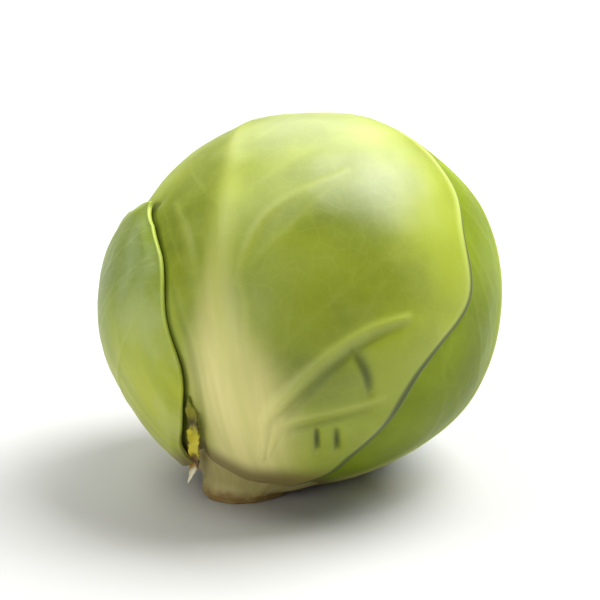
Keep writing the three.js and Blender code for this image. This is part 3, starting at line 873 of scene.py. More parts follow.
@dataclass
class VeinTree:
    """The veins of one leaf: side veins that leave the midrib in turn, and their branches.

    Pairs go from the leaf's base to its tip, unless a comment says otherwise.
    """

    leaf: LeafMap
    step_mm: float = 0.9
    margin: float = 0.94
    tip_gap_deg: float = 3.0
    wander_deg: float = 2.5
    # Side veins: how far from both ends they fork off, unevenly and closer near the base
    from_ends_deg: Pair = (6.0, 8.0)
    jitter: float = 0.15
    crowding: float = 1.15
    # Each runs up beside the midrib first, from this far below its fork, and bows out to it
    run_in_deg: float = 26.0
    below_foot_deg: float = 4.0
    beside_deg: float = 1.2
    bow: float = 0.6
    # Their course and size
    heading_deg: Pair = (58.0, 34.0)
    bend_deg: Pair = (-8.0, -26.0)
    length_mm: Pair = (24.0, 9.0)
    half_width_mm: Pair = (0.5, 0.26)
    height_share: Pair = (1.0, 0.6)
    end_half_width_mm: float = 0.16
    end_height: float = 0.35
    # Branches: one every few points, with random lengths and turns, and shares of the side vein's size
    twig_every: int = 4
    twig_length_mm: Pair = (3.0, 7.0)
    twig_shortening: float = 0.4
    twig_turn_deg: Pair = (34, 52)
    twig_bend_deg: float = -18
    twig_width: float = 0.55
    twig_height: Pair = (0.45, 0.1)
    twig_end_mm: float = 0.1
    twig_tone: float = 0.6
    # Reading: how far a vein is felt, and how its tone and its dark tone of scar and painted shade spread
    # across it, in half widths
    felt: float = 3.0
    end_tone: float = 0.45
    tone_across: float = 0.85
    scar_and_painted_shade_across: float = 1.1

    def __post_init__(self) -> None:
        """Grows the veins from the leaf's seed."""
        self.random = np.random.default_rng(self.leaf.plan.seed)
        self.scale = self.leaf.head.mm_per_degree
        self.veins: list[Vein] = [self.drawn(vein) for vein in self.leaf.plan.drawn]
        self.swells = [self.drawn(swell) for swell in self.leaf.plan.swells]
        for side in (-1.0, 1.0):
            self.grow_side(side)

    def drawn(self, vein: DrawnVein) -> Vein:
        """Turns a drawn vein into a smooth one in mm."""
        share = np.linspace(0, 1, len(vein.line))
        fine = np.linspace(0, 1, 5 * len(vein.line))
        y, x = (along_curve(tuple(zip(share, part)), fine) for part in zip(*vein.line))
        points = np.stack([x, y], 1) * self.scale
        return Vein(points, vein.half_width_mm, vein.height_mm, vein.tone, vein.scar)

    def inside(self, point: Array) -> bool:
        """Tells whether a point of the map lies on the leaf, clear of its edge."""
        x, y = point / self.scale
        column = float(self.leaf.column_at(np.array(x), np.array(y)))
        return abs(column) < self.margin and y < self.leaf.column_end(column) - self.tip_gap_deg

    def trace(self, start: Array, heading: float, bend: float, length: float) -> Array:
        """Draws a line over the map until it nears the leaf's edge.

        Args:
            start: Its first point, in mm.
            heading: Its first direction, in degrees clockwise from up.
            bend: How far it turns in all, in degrees.
            length: Its full length, in mm.

        Returns:
            The line's points, in mm.
        """
        points = [start]
        steps = max(2, round(length / self.step_mm))
        for _ in range(steps):
            way = math.radians(heading)
            ahead = points[-1] + self.step_mm * np.array([math.sin(way), math.cos(way)])
            if not self.inside(ahead):
                break
            points.append(ahead)
            heading += bend / steps + self.random.normal(0.0, self.wander_deg)
        return np.array(points)

    def grow_side(self, side: float) -> None:
        """Grows the side veins of one half of the leaf, with their branches."""
        plan = self.leaf.plan
        foot, top = plan.rib[0][0] + self.from_ends_deg[0], plan.rib[-1][0] - self.from_ends_deg[1]
        for i in range(plan.vein_count):
            share = (i + 0.5 + self.random.uniform(-self.jitter, self.jitter)) / plan.vein_count
            y = lerp(foot, top, share**self.crowding)
            beside = max(y - self.run_in_deg, foot - self.below_foot_deg)
            x, x_beside = along_curve(self.leaf.rib, np.array([y, beside]))
            start = np.array([x, y]) * self.scale
            heading, bend = side * lerp(*self.heading_deg, share), side * lerp(*self.bend_deg, share)
            run = self.trace(start, heading, bend, lerp(*self.length_mm, share))
            if len(run) < 3:
                continue
            first = np.array([x_beside + side * self.beside_deg, beside]) * self.scale
            points = np.concatenate([[first], [lerp(first, start, self.bow)], run[1:]])
            width = lerp(*self.half_width_mm, share)
            height = plan.vein_height_mm * lerp(*self.height_share, share)
            heights = (height, height * self.end_height)
            self.veins.append(Vein(points, (width, self.end_half_width_mm), heights, plan.vein_tone))
            self.branch(run, height, width)

    def branch(self, run: Array, height: float, width: float) -> None:
        """Grows branches from a side vein, to its left and right in turn."""
        hand = self.random.choice([-1.0, 1.0])
        tone = self.leaf.plan.vein_tone * self.twig_tone
        for i in range(3, len(run) - 2, self.twig_every):
            ahead = run[i + 1] - run[i]
            heading = math.degrees(math.atan2(ahead[0], ahead[1]))
            length = self.random.uniform(*self.twig_length_mm) * (1 - self.twig_shortening * i / len(run))
            heading += hand * self.random.uniform(*self.twig_turn_deg)
            twig = self.trace(run[i], heading, self.twig_bend_deg * hand, length)
            if len(twig) > 2:
                heights = (height * self.twig_height[0], height * self.twig_height[1])
                self.veins.append(Vein(twig, (width * self.twig_width, self.twig_end_mm), heights, tone))
            hand = -hand

    def fields(self, places: Array) -> tuple[Array, Array, Array]:
        """Reads the relief and the colour that the veins give.

        Args:
            places: Points of the map, in mm.

        Returns:
            The height in mm, the pale tone of the veins and the dark tone of scars and of painted shade in
            grooves and folds.
        """
        height, sunk, tone, scar = (np.zeros(len(places)) for _ in range(4))
        for vein in self.veins:
            reach = self.felt * max(vein.half_width_mm)
            low, high = vein.points.min(0) - reach, vein.points.max(0) + reach
            near = np.flatnonzero(((places > low) & (places < high)).all(1))
            if not len(near):
                continue
            rise, across, share = vein.rise(places[near])
            height[near] = np.maximum(height[near], rise)
            sunk[near] = np.minimum(sunk[near], rise)
            pale = vein.tone * lerp(1.0, self.end_tone, share) * np.exp(-((across * self.tone_across) ** 2))
            tone[near] = np.maximum(tone[near], pale)
            tapered = np.sqrt(np.clip(np.sin(np.pi * share), 0.0, 1.0))
            dark = vein.scar * tapered * np.exp(-((across * self.scar_and_painted_shade_across) ** 4))
            scar[near] = np.maximum(scar[near], dark)
        height += sunk
        for swell in self.swells:
            height += swell.rise(places)[0]
        return height, tone, scar


# Making meshes

def new_mesh(name: str, points_mm: Array, faces: Array, tones: dict[str, Array]) -> bpy.types.Object:
    """Makes an object from points and faces that have the same number of corners each.

    Args:
        name: The object's name.
        points_mm: Its points, in mm.
        faces: The point numbers of each face, by face.
        tones: Values for each point, by attribute name: numbers, or vectors of three.

    Returns:
        The object, in the scene.
    """
    mesh = bpy.data.meshes.new(name)
    corners = faces.shape[1]
    mesh.vertices.add(len(points_mm))
    mesh.vertices.foreach_set("co", (points_mm * MM).astype(np.float32).ravel())
    mesh.loops.add(faces.size)
    mesh.loops.foreach_set("vertex_index", faces.astype(np.int32).ravel())
    mesh.polygons.add(len(faces))
    mesh.polygons.foreach_set("loop_start", np.arange(0, faces.size, corners, dtype=np.int32))
    for key, values in tones.items():
        kind, slot = ("FLOAT_VECTOR", "vector") if values.ndim == 2 else ("FLOAT", "value")
        attribute = mesh.attributes.new(key, kind, "POINT")
        attribute.data.foreach_set(slot, values.astype(np.float32).ravel())
    mesh.update(calc_edges=True)
    mesh.validate()
    obj = bpy.data.objects.new(name, mesh)
    bpy.context.scene.collection.objects.link(obj)
    return obj


def grid_faces(rows: int, columns: int) -> Array:
    """Gives the four-cornered faces of a grid of points, facing out where columns run to the right."""
    corner = (np.arange(rows - 1)[:, None] * columns + np.arange(columns - 1)[None, :]).ravel()
    return np.stack([corner, corner + 1, corner + columns + 1, corner + columns], 1)


def round_piece(
    name: str, rings: Array, ends: Array, tones: dict[str, Array], material: bpy.types.Material
) -> bpy.types.Object:
    """Makes a closed round piece from rings of points, with one more point that closes each end.

    Args:
        name: The piece's name.
        rings: Its points by ring and side, in mm, from the tip's end to the stalk's.
        ends: The points that close the first and the last ring, in mm.
        tones: Values for each point and then for both ends, by attribute name.
        material: Its finish.

    Returns:
        The piece, in the scene.
    """
    count, sides = rings.shape[:2]
    here = np.arange(sides)
    after = (here + 1) % sides
    faces = []
    for start in range(0, (count - 1) * sides, sides):
        a, b = start + here, start + after
        faces += [np.stack([a, a + sides, b + sides], 1), np.stack([a, b + sides, b], 1)]
    first, last = count * sides, (count - 1) * sides
    faces.append(np.stack([np.full(sides, first), here, after], 1))
    faces.append(np.stack([np.full(sides, first + 1), last + after, last + here], 1))
    piece = new_mesh(name, np.concatenate([rings.reshape(-1, 3), ends]), np.concatenate(faces), tones)
    piece.data.materials.append(material)
    piece.data.shade_smooth()
    return piece


def made_plain(obj: bpy.types.Object, tree: bpy.types.NodeTree, values: dict[str, object]) -> None:
    """Runs a Geometry Nodes tree on an object and keeps its result as a plain mesh.

    The modifier goes again, and so do the attributes that only the tree reads.

    Args:
        obj: The object that the tree works on.
        tree: The tree.
        values: The tree's inputs, by name.
    """
    modifier = obj.modifiers.new("grow", "NODES")
    modifier.node_group = tree
    for item in tree.interface.items_tree:
        if item.item_type == "SOCKET" and item.in_out == "INPUT" and item.name in values:
            modifier[item.identifier] = values[item.name]
    evaluated = obj.evaluated_get(bpy.context.evaluated_depsgraph_get())
    mesh = bpy.data.meshes.new_from_object(evaluated)
    obj.modifiers.remove(modifier)
    old, obj.data = obj.data, mesh
    bpy.data.meshes.remove(old)
    mesh.name = obj.name
    for name in FORM_ATTRIBUTES:
        mesh.attributes.remove(mesh.attributes[name])


def blade_tree() -> bpy.types.NodeTree:
    """Builds the tree that raises a leaf's relief and closes its outer and inner face into one blade.

    Returns:
        A tree for a grid of points with the attribute map_mm and those that shape the blade.
    """
    tree = bpy.data.node_groups.new("leaf_blade", "GeometryNodeTree")
    add = partial(add_node, tree)
    tree.interface.new_socket("Geometry", in_out="INPUT", socket_type="NodeSocketGeometry")
    for name in ("Blister Height", "Blister Size", "Seed"):
        tree.interface.new_socket(name, in_out="INPUT", socket_type="NodeSocketFloat")
    tree.interface.new_socket("Material", in_out="INPUT", socket_type="NodeSocketMaterial")
    tree.interface.new_socket("Geometry", in_out="OUTPUT", socket_type="NodeSocketGeometry")
    given = add("NodeGroupInput").outputs
    grid = {}
    for name, kind in (
        ("way", "FLOAT_VECTOR"), ("map_mm", "FLOAT_VECTOR"), ("vein", "FLOAT"), ("free", "FLOAT"),
        ("depth_mm", "FLOAT"),
    ):
        settings = {"data_type": kind}
        grid[name] = add("GeometryNodeInputNamedAttribute", settings, {"Name": name}).outputs[0]
    # Blisters: soft noise on the leaf's map, as high and as wide as the tree's inputs say
    size = add("ShaderNodeMath", {"operation": "DIVIDE"}, {0: 1.0, 1: given["Blister Size"]})
    scaled = {0: grid["map_mm"], "Scale": size.outputs[0]}
    place = add("ShaderNodeVectorMath", {"operation": "SCALE"}, scaled)
    noise = add(
        "ShaderNodeTexNoise", {"noise_dimensions": "4D"},
        {"Vector": place.outputs[0], "W": given["Seed"], "Scale": 1.0, "Detail": 1.5, "Roughness": 0.4},
    )
    swing = add("ShaderNodeMath", {"operation": "MULTIPLY"}, {0: given["Blister Height"], 1: 2.0})
    # The veins and blisters show where the leaf is free, on its inner face too
    relief = noise.outputs[0]
    for operation, value in (
        ("SUBTRACT", 0.5), ("MULTIPLY", swing.outputs[0]), ("ADD", grid["vein"]), ("MULTIPLY", grid["free"]),
    ):
        relief = add("ShaderNodeMath", {"operation": operation}, {0: relief, 1: value}).outputs[0]
    flipped = add("GeometryNodeFlipFaces", inputs={0: given["Geometry"]}).outputs[0]
    under = add("ShaderNodeMath", {"operation": "SUBTRACT"}, {0: relief, 1: grid["depth_mm"]}).outputs[0]
    joined = add("GeometryNodeJoinGeometry")
    for geometry, height in ((given["Geometry"], relief), (flipped, under)):
        metres = add("ShaderNodeMath", {"operation": "MULTIPLY"}, {0: height, 1: MM}).outputs[0]
        offset = add("ShaderNodeVectorMath", {"operation": "SCALE"}, {0: grid["way"], "Scale": metres})
        moved = add("GeometryNodeSetPosition", inputs={0: geometry, "Offset": offset.outputs[0]})
        tree.links.new(moved.outputs[0], joined.inputs[0])
    part = joined.outputs[0]
    for kind, inputs in (
        ("GeometryNodeMergeByDistance", {"Distance": MERGE_M}),
        ("GeometryNodeSetShadeSmooth", {}),
        ("GeometryNodeRealizeInstances", {}),
        ("GeometryNodeSetMaterial", {"Material": given["Material"]}),
    ):
        part = add(kind, inputs={0: part, **inputs}).outputs[0]
    add("NodeGroupOutput", inputs={0: part})
    return tree


# The sprout's pieces

@dataclass
class LeafGrid:
    """The grid of a leaf's points, one row after another, and where each point lies on the leaf."""

    leaf: LeafMap
    rows: Array
    columns: Array

    def __post_init__(self) -> None:
        """Lays the grid on the head and measures it, in mm."""
        leaf, scale = self.leaf, self.leaf.head.mm_per_degree
        x, y = leaf.grid(self.columns, self.rows)
        self.ways = leaf.on_map(x, y).reshape(-1, 3)
        self.to_base = ((y - y[0]) * scale).ravel()
        places = np.meshgrid(self.rows, self.columns, indexing="ij")
        self.row, self.column = (part.ravel() for part in places)
        x, self.y = x.ravel(), y.ravel()
        self.places = np.stack([x, self.y], 1) * scale
        rib = along_curve(leaf.rib, self.y)
        # The middle column counts as right of the midrib
        side_x = leaf.column_x(np.sign(self.column + 1e-9), self.y)
        self.past_rib = (x - rib) * scale
        self.to_side = (1 - np.abs(self.column)) * np.abs(side_x - rib) * scale
        self.to_tip = np.maximum(leaf.column_end(self.column) - self.y, 0.0) * scale
        self.to_edge = np.minimum(self.to_side, self.to_tip)


@dataclass
class WrapperLeaf:
    """A leaf that wraps the head, in place of the solid of the same node.

    Rows count from 0 at the base to 1 at the tip, and columns from -1 at the left edge to 1 at the right.
    """

    stack: LeafStack
    index: int
    tree: bpy.types.NodeTree
    slot: str
    # The blade and its rounded edge, where the grid has a few close lines
    thickness_mm: float = 0.6
    edge_thickness_mm: float = 0.42
    thin_from_mm: float = 3.0
    lift_from_mm: float = 2.2
    edge_cells: int = 5
    edge_cell_mm: float = 0.06
    least_cell: float = 0.4
    width_mm: float = 34.0
    length_mm: float = 38.0
    # How the leaf spans the hollows under it
    sink_mm: float = 0.15
    stretch_rounds: int = 30
    stretch_cells: int = 10
    soften_rounds: int = 3
    soften_cells: int = 8
    # The relief, and where it dies out
    rib_end: float = 0.06
    rib_fall: float = 0.38
    fade_mm: float = 1.2
    blister_size_mm: float = 6.0
    # Where each tone of the finish lies
    base_falloff: int = 3
    rim_rows: Pair = (0.2, 0.6)
    rim_low: float = 0.35
    # Painted shadow: a dark line just past the edge of each leaf that lies over this one
    painted_edge_shadow_tone: float = 0.65
    painted_edge_shadow_deg: Pair = (0.4, 2.0)
    # Where the painted shade along the right margin lies
    margin_mm: Pair = (0.2, 0.45)
    margin_rows: Pair = (0.15, 0.5)
    margin_widening: float = 2.6
    # The deeper middle, partly painted shade, weakens near the base and towards the tip, where the highlight
    # falls
    heart_mm: Pair = (3.5, 11.0)
    heart_low_rows: Pair = (0.2, 0.4)
    heart_high_rows: Pair = (0.45, 0.62)
    heart_ends: Pair = (0.4, 0.5)
    foot_tone: float = 0.9
    foot_rows: Pair = (0.02, 0.07)
    # Where the painted highlight lies: away from the edges, towards the tip and right of the midrib
    painted_highlight_mm: Pair = (1.5, 6.0)
    painted_highlight_rows: Pair = (0.44, 0.6)
    painted_highlight_columns: Pair = (0.0, 0.3)

    def spacing(self, count: int, span_mm: float, both_ends: bool) -> Array:
        """Spaces grid lines evenly, with a few close ones for the rounded edge.

        Args:
            count: How many lines there are, about.
            span_mm: The length that they cover.
            both_ends: Whether the first end is rounded too.

        Returns:
            Places from 0 to 1.
        """
        edge = np.arange(self.edge_cells) * self.edge_cell_mm / span_mm
        start = edge if both_ends else np.zeros(1)
        middle, gap = np.linspace(0.0, 1.0, count), self.least_cell / count
        middle = middle[(middle > start[-1] + gap) & (middle < 1 - edge[-1] - gap)]
        return np.concatenate([start, middle, 1 - edge[::-1]])

    def press_on_floor(self, mesh: bpy.types.Mesh) -> None:
        """Presses what bulges below the floor flat on it."""
        places = np.empty(3 * len(mesh.vertices), np.float32)
        mesh.vertices.foreach_get("co", places)
        places[2::3] = np.maximum(places[2::3], 0.0)
        mesh.vertices.foreach_set("co", places)
        mesh.update()

    def taut(self, reach: Array, bare: Array) -> Array:
        """Stretches the leaf over what lies under it, so that it spans the hollows.

        Args:
            reach: How far the face reaches, by row and column.
            bare: Where the leaf is free to lift, by row and column.

        Returns:
            The reach of the stretched leaf.
        """
        spanned = reach
        for _ in range(self.stretch_rounds):
            spanned = np.maximum(reach, blurred(spanned, self.stretch_cells))
        for _ in range(self.soften_rounds):
            spanned = blurred(spanned, self.soften_cells)
        return lerp(reach, spanned - self.sink_mm, bare)

    def edge_lift(self, at: LeafGrid) -> Array:
        """Gives how far the leaf's edges stand off or dip."""
        left, right, tip = at.leaf.plan.edge_lift_mm
        lift = np.where(at.to_tip < at.to_side, tip, np.where(at.column < 0, left, right))
        return lift * (1 - smoothstep(at.to_edge, 0.0, self.lift_from_mm))

    def tones(self, at: LeafGrid, past_cover: Array) -> dict[str, Array]:
        """Reads the relief and the tones that the finish takes.

        Args:
            at: The leaf's points.
            past_cover: Degrees from each point to the nearest leaf over it.

        Returns:
            The relief in mm, as vein, and the tones from 0 to 1, by attribute name.
        """
        plan, row = at.leaf.plan, at.row
        height, tone, scar = VeinTree(at.leaf).fields(at.places)
        rib = np.exp(-((at.past_rib / along_curve(plan.rib_half_mm, at.y)) ** 2))
        rib_rise = plan.rib_height_mm * lerp(1.0, self.rib_end, row**self.rib_fall) * rib
        fade = smoothstep(at.to_edge, 0.0, self.fade_mm)
        from_base = np.abs((at.past_rib + plan.base_shift_mm) / along_curve(plan.base_half_mm, at.y))
        # Pale rim, partly painted highlight where the edges catch the light, stronger towards the tip
        rim = plan.rim_tone * lerp(self.rim_low, 1.0, smoothstep(row, *self.rim_rows))
        # Painted shadow just past the edge of the leaf over this one, in the dark tone
        painted_edge_shadow = self.painted_edge_shadow_tone * (1 - smoothstep(past_cover, *self.painted_edge_shadow_deg))
        # The painted shade along the right margin, a dark line in place of the shadow in the gap beside it,
        # is wider towards the base
        from_margin = at.to_edge / lerp(self.margin_widening, 1.0, smoothstep(row, *self.margin_rows))
        margin = plan.painted_margin_shade * (at.column > 0) * (1 - smoothstep(from_margin, *self.margin_mm))
        low, high = self.heart_ends
        return {
            "vein": (np.maximum(height, rib_rise) + np.minimum(height, 0.0)) * fade,
            "tone": np.clip(np.maximum(tone, rib * lerp(*plan.rib_tone, row)) * fade, 0, 1),
            "base": (1 - smoothstep(row, *plan.base_rows)) * np.exp(-(from_base**self.base_falloff)),
            "rim": rim * (1 - smoothstep(at.to_edge, *plan.rim_mm)),
            "scar": np.maximum(scar, np.maximum(painted_edge_shadow, margin)),
            "heart": smoothstep(at.to_edge, *self.heart_mm)
            * lerp(1.0, high, smoothstep(row, *self.heart_high_rows))
            * lerp(low, 1.0, smoothstep(row, *self.heart_low_rows)),
            "foot": self.foot_tone * (1 - smoothstep(row, *self.foot_rows)),
            # A painted highlight, paler towards the tip on the right half, where the light falls
            "film": plan.film
            * smoothstep(row, *self.painted_highlight_rows)
            * smoothstep(at.to_edge, *self.painted_highlight_mm)
            * smoothstep(at.column, *self.painted_highlight_columns),
        }

    def build(self, material: bpy.types.Material) -> bpy.types.Object:
        """Makes the leaf and puts it in the frame.

        Args:
            material: Its finish.

        Returns:
            The finished piece.
        """
        leaf = self.stack.maps[self.index]
        plan = leaf.plan
        columns = 2 * self.spacing(plan.columns, self.width_mm, True) - 1
        rows = self.spacing(plan.rows, self.length_mm, False)
        shape = (len(rows), len(columns))
        at = LeafGrid(leaf, rows, columns)
        reach, bare, past_cover = self.stack.lie(self.index, at.ways)
        reach = self.taut(reach.reshape(shape), bare.reshape(shape)).ravel()
        # The blade thins towards its edge, which is round
        thin = smoothstep(at.to_edge, 0.0, self.thin_from_mm)
        thick = lerp(self.edge_thickness_mm, self.thickness_mm, thin)
        from_end = np.clip(np.minimum(at.to_edge, at.to_base) / (thick / 2), 0.0, 1.0)
        round_off = np.sqrt(1 - (1 - from_end) ** 2)
        outer = reach + self.edge_lift(at) * bare - thick / 2 * (1 - round_off)
        points = self.stack.head.centre + at.ways * outer[:, None]
        values = {
            "way": at.ways, "free": bare, "depth_mm": thick * round_off,
            "map_mm": np.pad(at.places, ((0, 0), (0, 1))), **self.tones(at, past_cover),
        }
        piece = new_mesh(f"dressed_{plan.node}", points, grid_faces(*shape), values)
        blisters = {"Blister Height": plan.blister_mm, "Blister Size": self.blister_size_mm}
        made_plain(piece, self.tree, {**blisters, "Seed": float(plan.seed), "Material": material})
        self.press_on_floor(piece.data)
        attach(piece, "root")
        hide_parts(plan.node)
        return piece


@dataclass
class TornScrap:
    """A torn strip that hangs in the gap beside the left leaf's foot."""

    stack: LeafStack
    tree: bpy.types.NodeTree
    # Its middle line on that leaf's map, then its half width and its lift by the share along it
    beside: str = "leaf_front"
    line: Line = ((-37, -29.4), (-46, -30.6), (-54, -33.2), (-62, -36.8), (-68, -40.2), (-74, -45))
    half_width_mm: Line = ((0, 0.1), (0.15, 0.55), (0.45, 0.75), (0.7, 0.65), (0.85, 0.55), (1, 0.08))
    least_half_mm: float = 0.04
    lift_mm: Line = ((0, 0.15), (0.4, 0.45), (0.7, 0.6), (0.85, 0.9), (1, 1.7))
    curl_mm: float = 0.25
    ripple_mm: float = 0.12
    ripple_pace: float = 26
    # The tears are smoothed over a few points, and die out towards the ends
    tear_mm: float = 0.12
    tear_cells: int = 5
    whole_ends: float = 6
    thickness_mm: float = 0.2
    thin_from_mm: float = 0.15
    length_mm: float = 10.0
    blister_mm: Pair = (0.12, 1.5)
    steps: int = 90
    across: int = 13
    seed: int = 21

    def build(self, material: bpy.types.Material) -> bpy.types.Object:
        """Makes the strip and puts it in the frame.

        Args:
            material: Its finish.

        Returns:
            The finished piece.
        """
        index = [plan.node for plan in self.stack.plans].index(self.beside)
        leaf, head = self.stack.maps[index], self.stack.head
        share = np.linspace(0.0, 1.0, self.steps)
        from_end = np.minimum(share, 1 - share)
        ends = np.linspace(0.0, 1.0, len(self.line))
        up, right = (along_curve(tuple(zip(ends, part)), share) for part in zip(*self.line))
        # Both long edges are torn, more in the middle than at the ends
        random = np.random.default_rng(self.seed)
        side = np.linspace(-1.0, 1.0, self.across)
        tears = np.cumsum(random.normal(0.0, 1.0, (self.steps, 2)), 0)
        tears = np.stack([t - blurred(t[:, None], self.tear_cells)[:, 0] for t in tears.T], 1) * self.tear_mm
        tears *= np.minimum(1.0, self.whole_ends * from_end)[:, None]
        half = np.maximum(along_curve(self.half_width_mm, share)[:, None] + tears, self.least_half_mm)
        x = right[:, None] + side * np.where(side < 0, half[:, :1], half[:, 1:]) / head.mm_per_degree
        y = np.broadcast_to(up[:, None], x.shape)
        ways = leaf.on_map(x.ravel(), y.ravel())
        reach, _, _ = self.stack.lie(index, ways)
        along, sides = np.repeat(share, self.across), np.tile(side, self.steps)
        curl = self.curl_mm * sides**2 + self.ripple_mm * np.sin(along * self.ripple_pace + sides)
        reach = reach + along_curve(self.lift_mm, along) + curl
        to_edge = (1 - np.abs(side)) * half.mean(1)[:, None]
        to_edge = np.minimum(to_edge, from_end[:, None] * self.length_mm).ravel()
        values = {
            "way": ways, "vein": np.zeros(len(along)), "free": np.ones(len(along)), "along": along,
            "depth_mm": self.thickness_mm * smoothstep(to_edge, 0.0, self.thin_from_mm),
            "map_mm": np.stack([x.ravel(), y.ravel(), np.zeros(len(along))], 1) * head.mm_per_degree,
        }
        points = head.centre + ways * reach[:, None]
        faces = grid_faces(self.steps, self.across)[:, ::-1]
        piece = new_mesh("torn_scrap", points, faces, values)
        blisters = {"Blister Height": self.blister_mm[0], "Blister Size": self.blister_mm[1]}
        made_plain(piece, self.tree, {**blisters, "Seed": float(self.seed), "Material": material})
        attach(piece, "root")
        return piece


@dataclass
class InnerHead:
    """The firm ball of small leaves inside, with their edges stepping round its tip."""

    stack: LeafStack
    sides: int = 180
    rings: int = 120
    polar_deg: Pair = (0.4, 179.6)
    clearance_mm: float = 0.15
    step_mm: float = 0.45
    step_deg: float = 3.0
    # The small leaves over the tip: degrees from the tip, degrees round it, and how far each reaches
    buds: tuple[Triple, ...] = ((30, 20, 34), (28, 155, 31), (24, -75, 27))
    # The seat on the stalk's top, which is flat up to an angle from the stalk
    stalk_top_mm: float = 12.6
    seat_gap_mm: float = 0.32
    seat_deg: Pair = (20, 32)
    seat_limit_deg: float = 45

    def build(self, material: bpy.types.Material) -> bpy.types.Object:
        """Makes the inner head and puts it in the frame.

        Args:
            material: Its finish.

        Returns:
            The finished piece.
        """
        head = self.stack.head
        polar = np.linspace(*self.polar_deg, self.rings)
        around = np.linspace(0.0, 360.0, self.sides, endpoint=False)
        polar, around = (part.ravel() for part in np.meshgrid(polar, around, indexing="ij"))
        ways = head.toward(polar, around)
        reach = self.stack.core(ways, self.stack.past_edges(ways))
        reach = reach - self.step_mm * len(self.buds) - self.clearance_mm
        for bud_polar, bud_around, bud_reach in self.buds:
            past = degrees_between(ways, head.toward(bud_polar, bud_around)) - bud_reach
            reach = reach + self.step_mm * (1 - smoothstep(past, 0.0, self.step_deg))
        from_stalk = 180 - polar
        slant = np.cos(np.radians(np.minimum(from_stalk, self.seat_limit_deg)))
        seat = (self.stalk_top_mm - self.seat_gap_mm) / slant
        reach = np.minimum(reach, lerp(seat, reach, smoothstep(from_stalk, *self.seat_deg)))
        rings = (head.centre + ways * reach[:, None]).reshape(self.rings, self.sides, 3)
        flat = np.stack([around * head.mm_per_degree, polar * head.mm_per_degree, 0 * polar], 1)
        tones = {name: np.zeros(len(flat) + 2) for name in LEAF_TONES}
        tones["map_mm"] = np.concatenate([flat, np.zeros((2, 3))])
        piece = round_piece("dressed_inner_head", rings, rings[[0, -1]].mean(1), tones, material)
        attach(piece, "root")
        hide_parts("inner_head")
        return piece


@dataclass(frozen=True)
class Stalk:
    """The stub that the leaves grow from, flared under them and cut off level with the floor."""

    head: HeadForm
    sides: int = 144
    stations: int = 60
    # Its radius by the distance from the head's centre
    profile: Line = (
        (12.6, 4.2), (13.3, 5.5), (14.1, 6.4), (14.8, 6.5), (15.5, 6.0), (16.3, 5.1), (16.9, 4.4),
        (17.5, 3.95), (19.8, 3.7),
    )
    # Ridges along the stub: how many go round, their share of the radius, and the first one's angle
    ridges: tuple[tuple[int, float, float], ...] = ((3, 0.03, 0), (11, 0.012, 40))
    # How near the floor the first and the last station may come
    least_mm: Pair = (1.4, 0.35)
    # The cut: rings as shares of its radius and heights over the floor, with how brown each is
    cut_radius_mm: float = 3.6
    cut_rings: tuple[Triple, ...] = (
        (1.035, 0.16, 0.9), (1.0, 0.03, 0.9), (0.965, 0.0, 0.9), (0.9, 0.03, 0.9),
        (0.82, 0.12, 0.35), (0.5, 0.14, 0.35), (0.2, 0.14, 0.35),
    )
    browned_mm: Pair = (0.35, 1.2)
    # The fibres' map: its units for each degree round, for each mm along and for the cut's radius
    map_scale: Triple = (0.09, 0.12, 3.0)

    def build(self, material: bpy.types.Material) -> bpy.types.Object:
        """Makes the stalk and puts it in the frame.

        Args:
            material: Its finish.

        Returns:
            The finished piece.
        """
        head = self.head
        around = np.linspace(0, 360, self.sides, endpoint=False)
        outward = head.toward(np.full(self.sides, 90.0), around)
        ridges = np.ones(self.sides)
        for count, share, turn in self.ridges:
            ridges += share * np.cos(np.radians(count * around + turn))
        rings, cuts, flats = [], [], []
        map_round, map_along, map_cut = self.map_scale
        for i, place in enumerate(np.linspace(self.profile[0][0], self.profile[-1][0], self.stations)):
            radius = along_curve(self.profile, np.full(self.sides, place)) * ridges
            point = head.centre - head.tip * place + outward * radius[:, None]
            least = lerp(*self.least_mm, i / (self.stations - 1))
            up = np.maximum(least - point[:, 2], 0.0) / head.tip[2]
            rings.append(point + head.tip * up[:, None])
            cuts.append(np.clip(1 - (rings[-1][:, 2] - self.browned_mm[0]) / self.browned_mm[1], 0, 1))
            flats.append(np.stack([around * map_round, map_along * (place - up), np.zeros(self.sides)], 1))
        for share, height, brown in self.cut_rings:
            base = head.centre + outward * (self.cut_radius_mm * share * ridges)[:, None]
            drop = (base[:, 2] - height) / head.tip[2]
            rings.append(base - head.tip * drop[:, None])
            cuts.append(np.full(self.sides, brown))
            level = np.full(self.sides, map_cut * share)
            flats.append(np.stack([around * map_round, level, np.ones(self.sides)], 1))
        ends = np.stack([head.centre - head.tip * self.profile[0][0], rings[-1].mean(0)])
        rings = np.stack(rings)
        rings[:, :, 2] = np.maximum(rings[:, :, 2], 0.0)
        tones = {
            "cut": np.concatenate(cuts + [np.array([0.0, self.cut_rings[-1][2]])]),
            "map_mm": np.concatenate(flats + [np.zeros((2, 3))]),
        }
        piece = round_piece("dressed_stalk", rings, ends, tones, material)
        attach(piece, "root")
        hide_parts("stalk")
        return piece


# The studio

@dataclass(frozen=True)
class SoftLight:
    """A square soft light that faces the sprout."""

    name: str
    place_mm: Triple
    size_mm: float
    watts: float


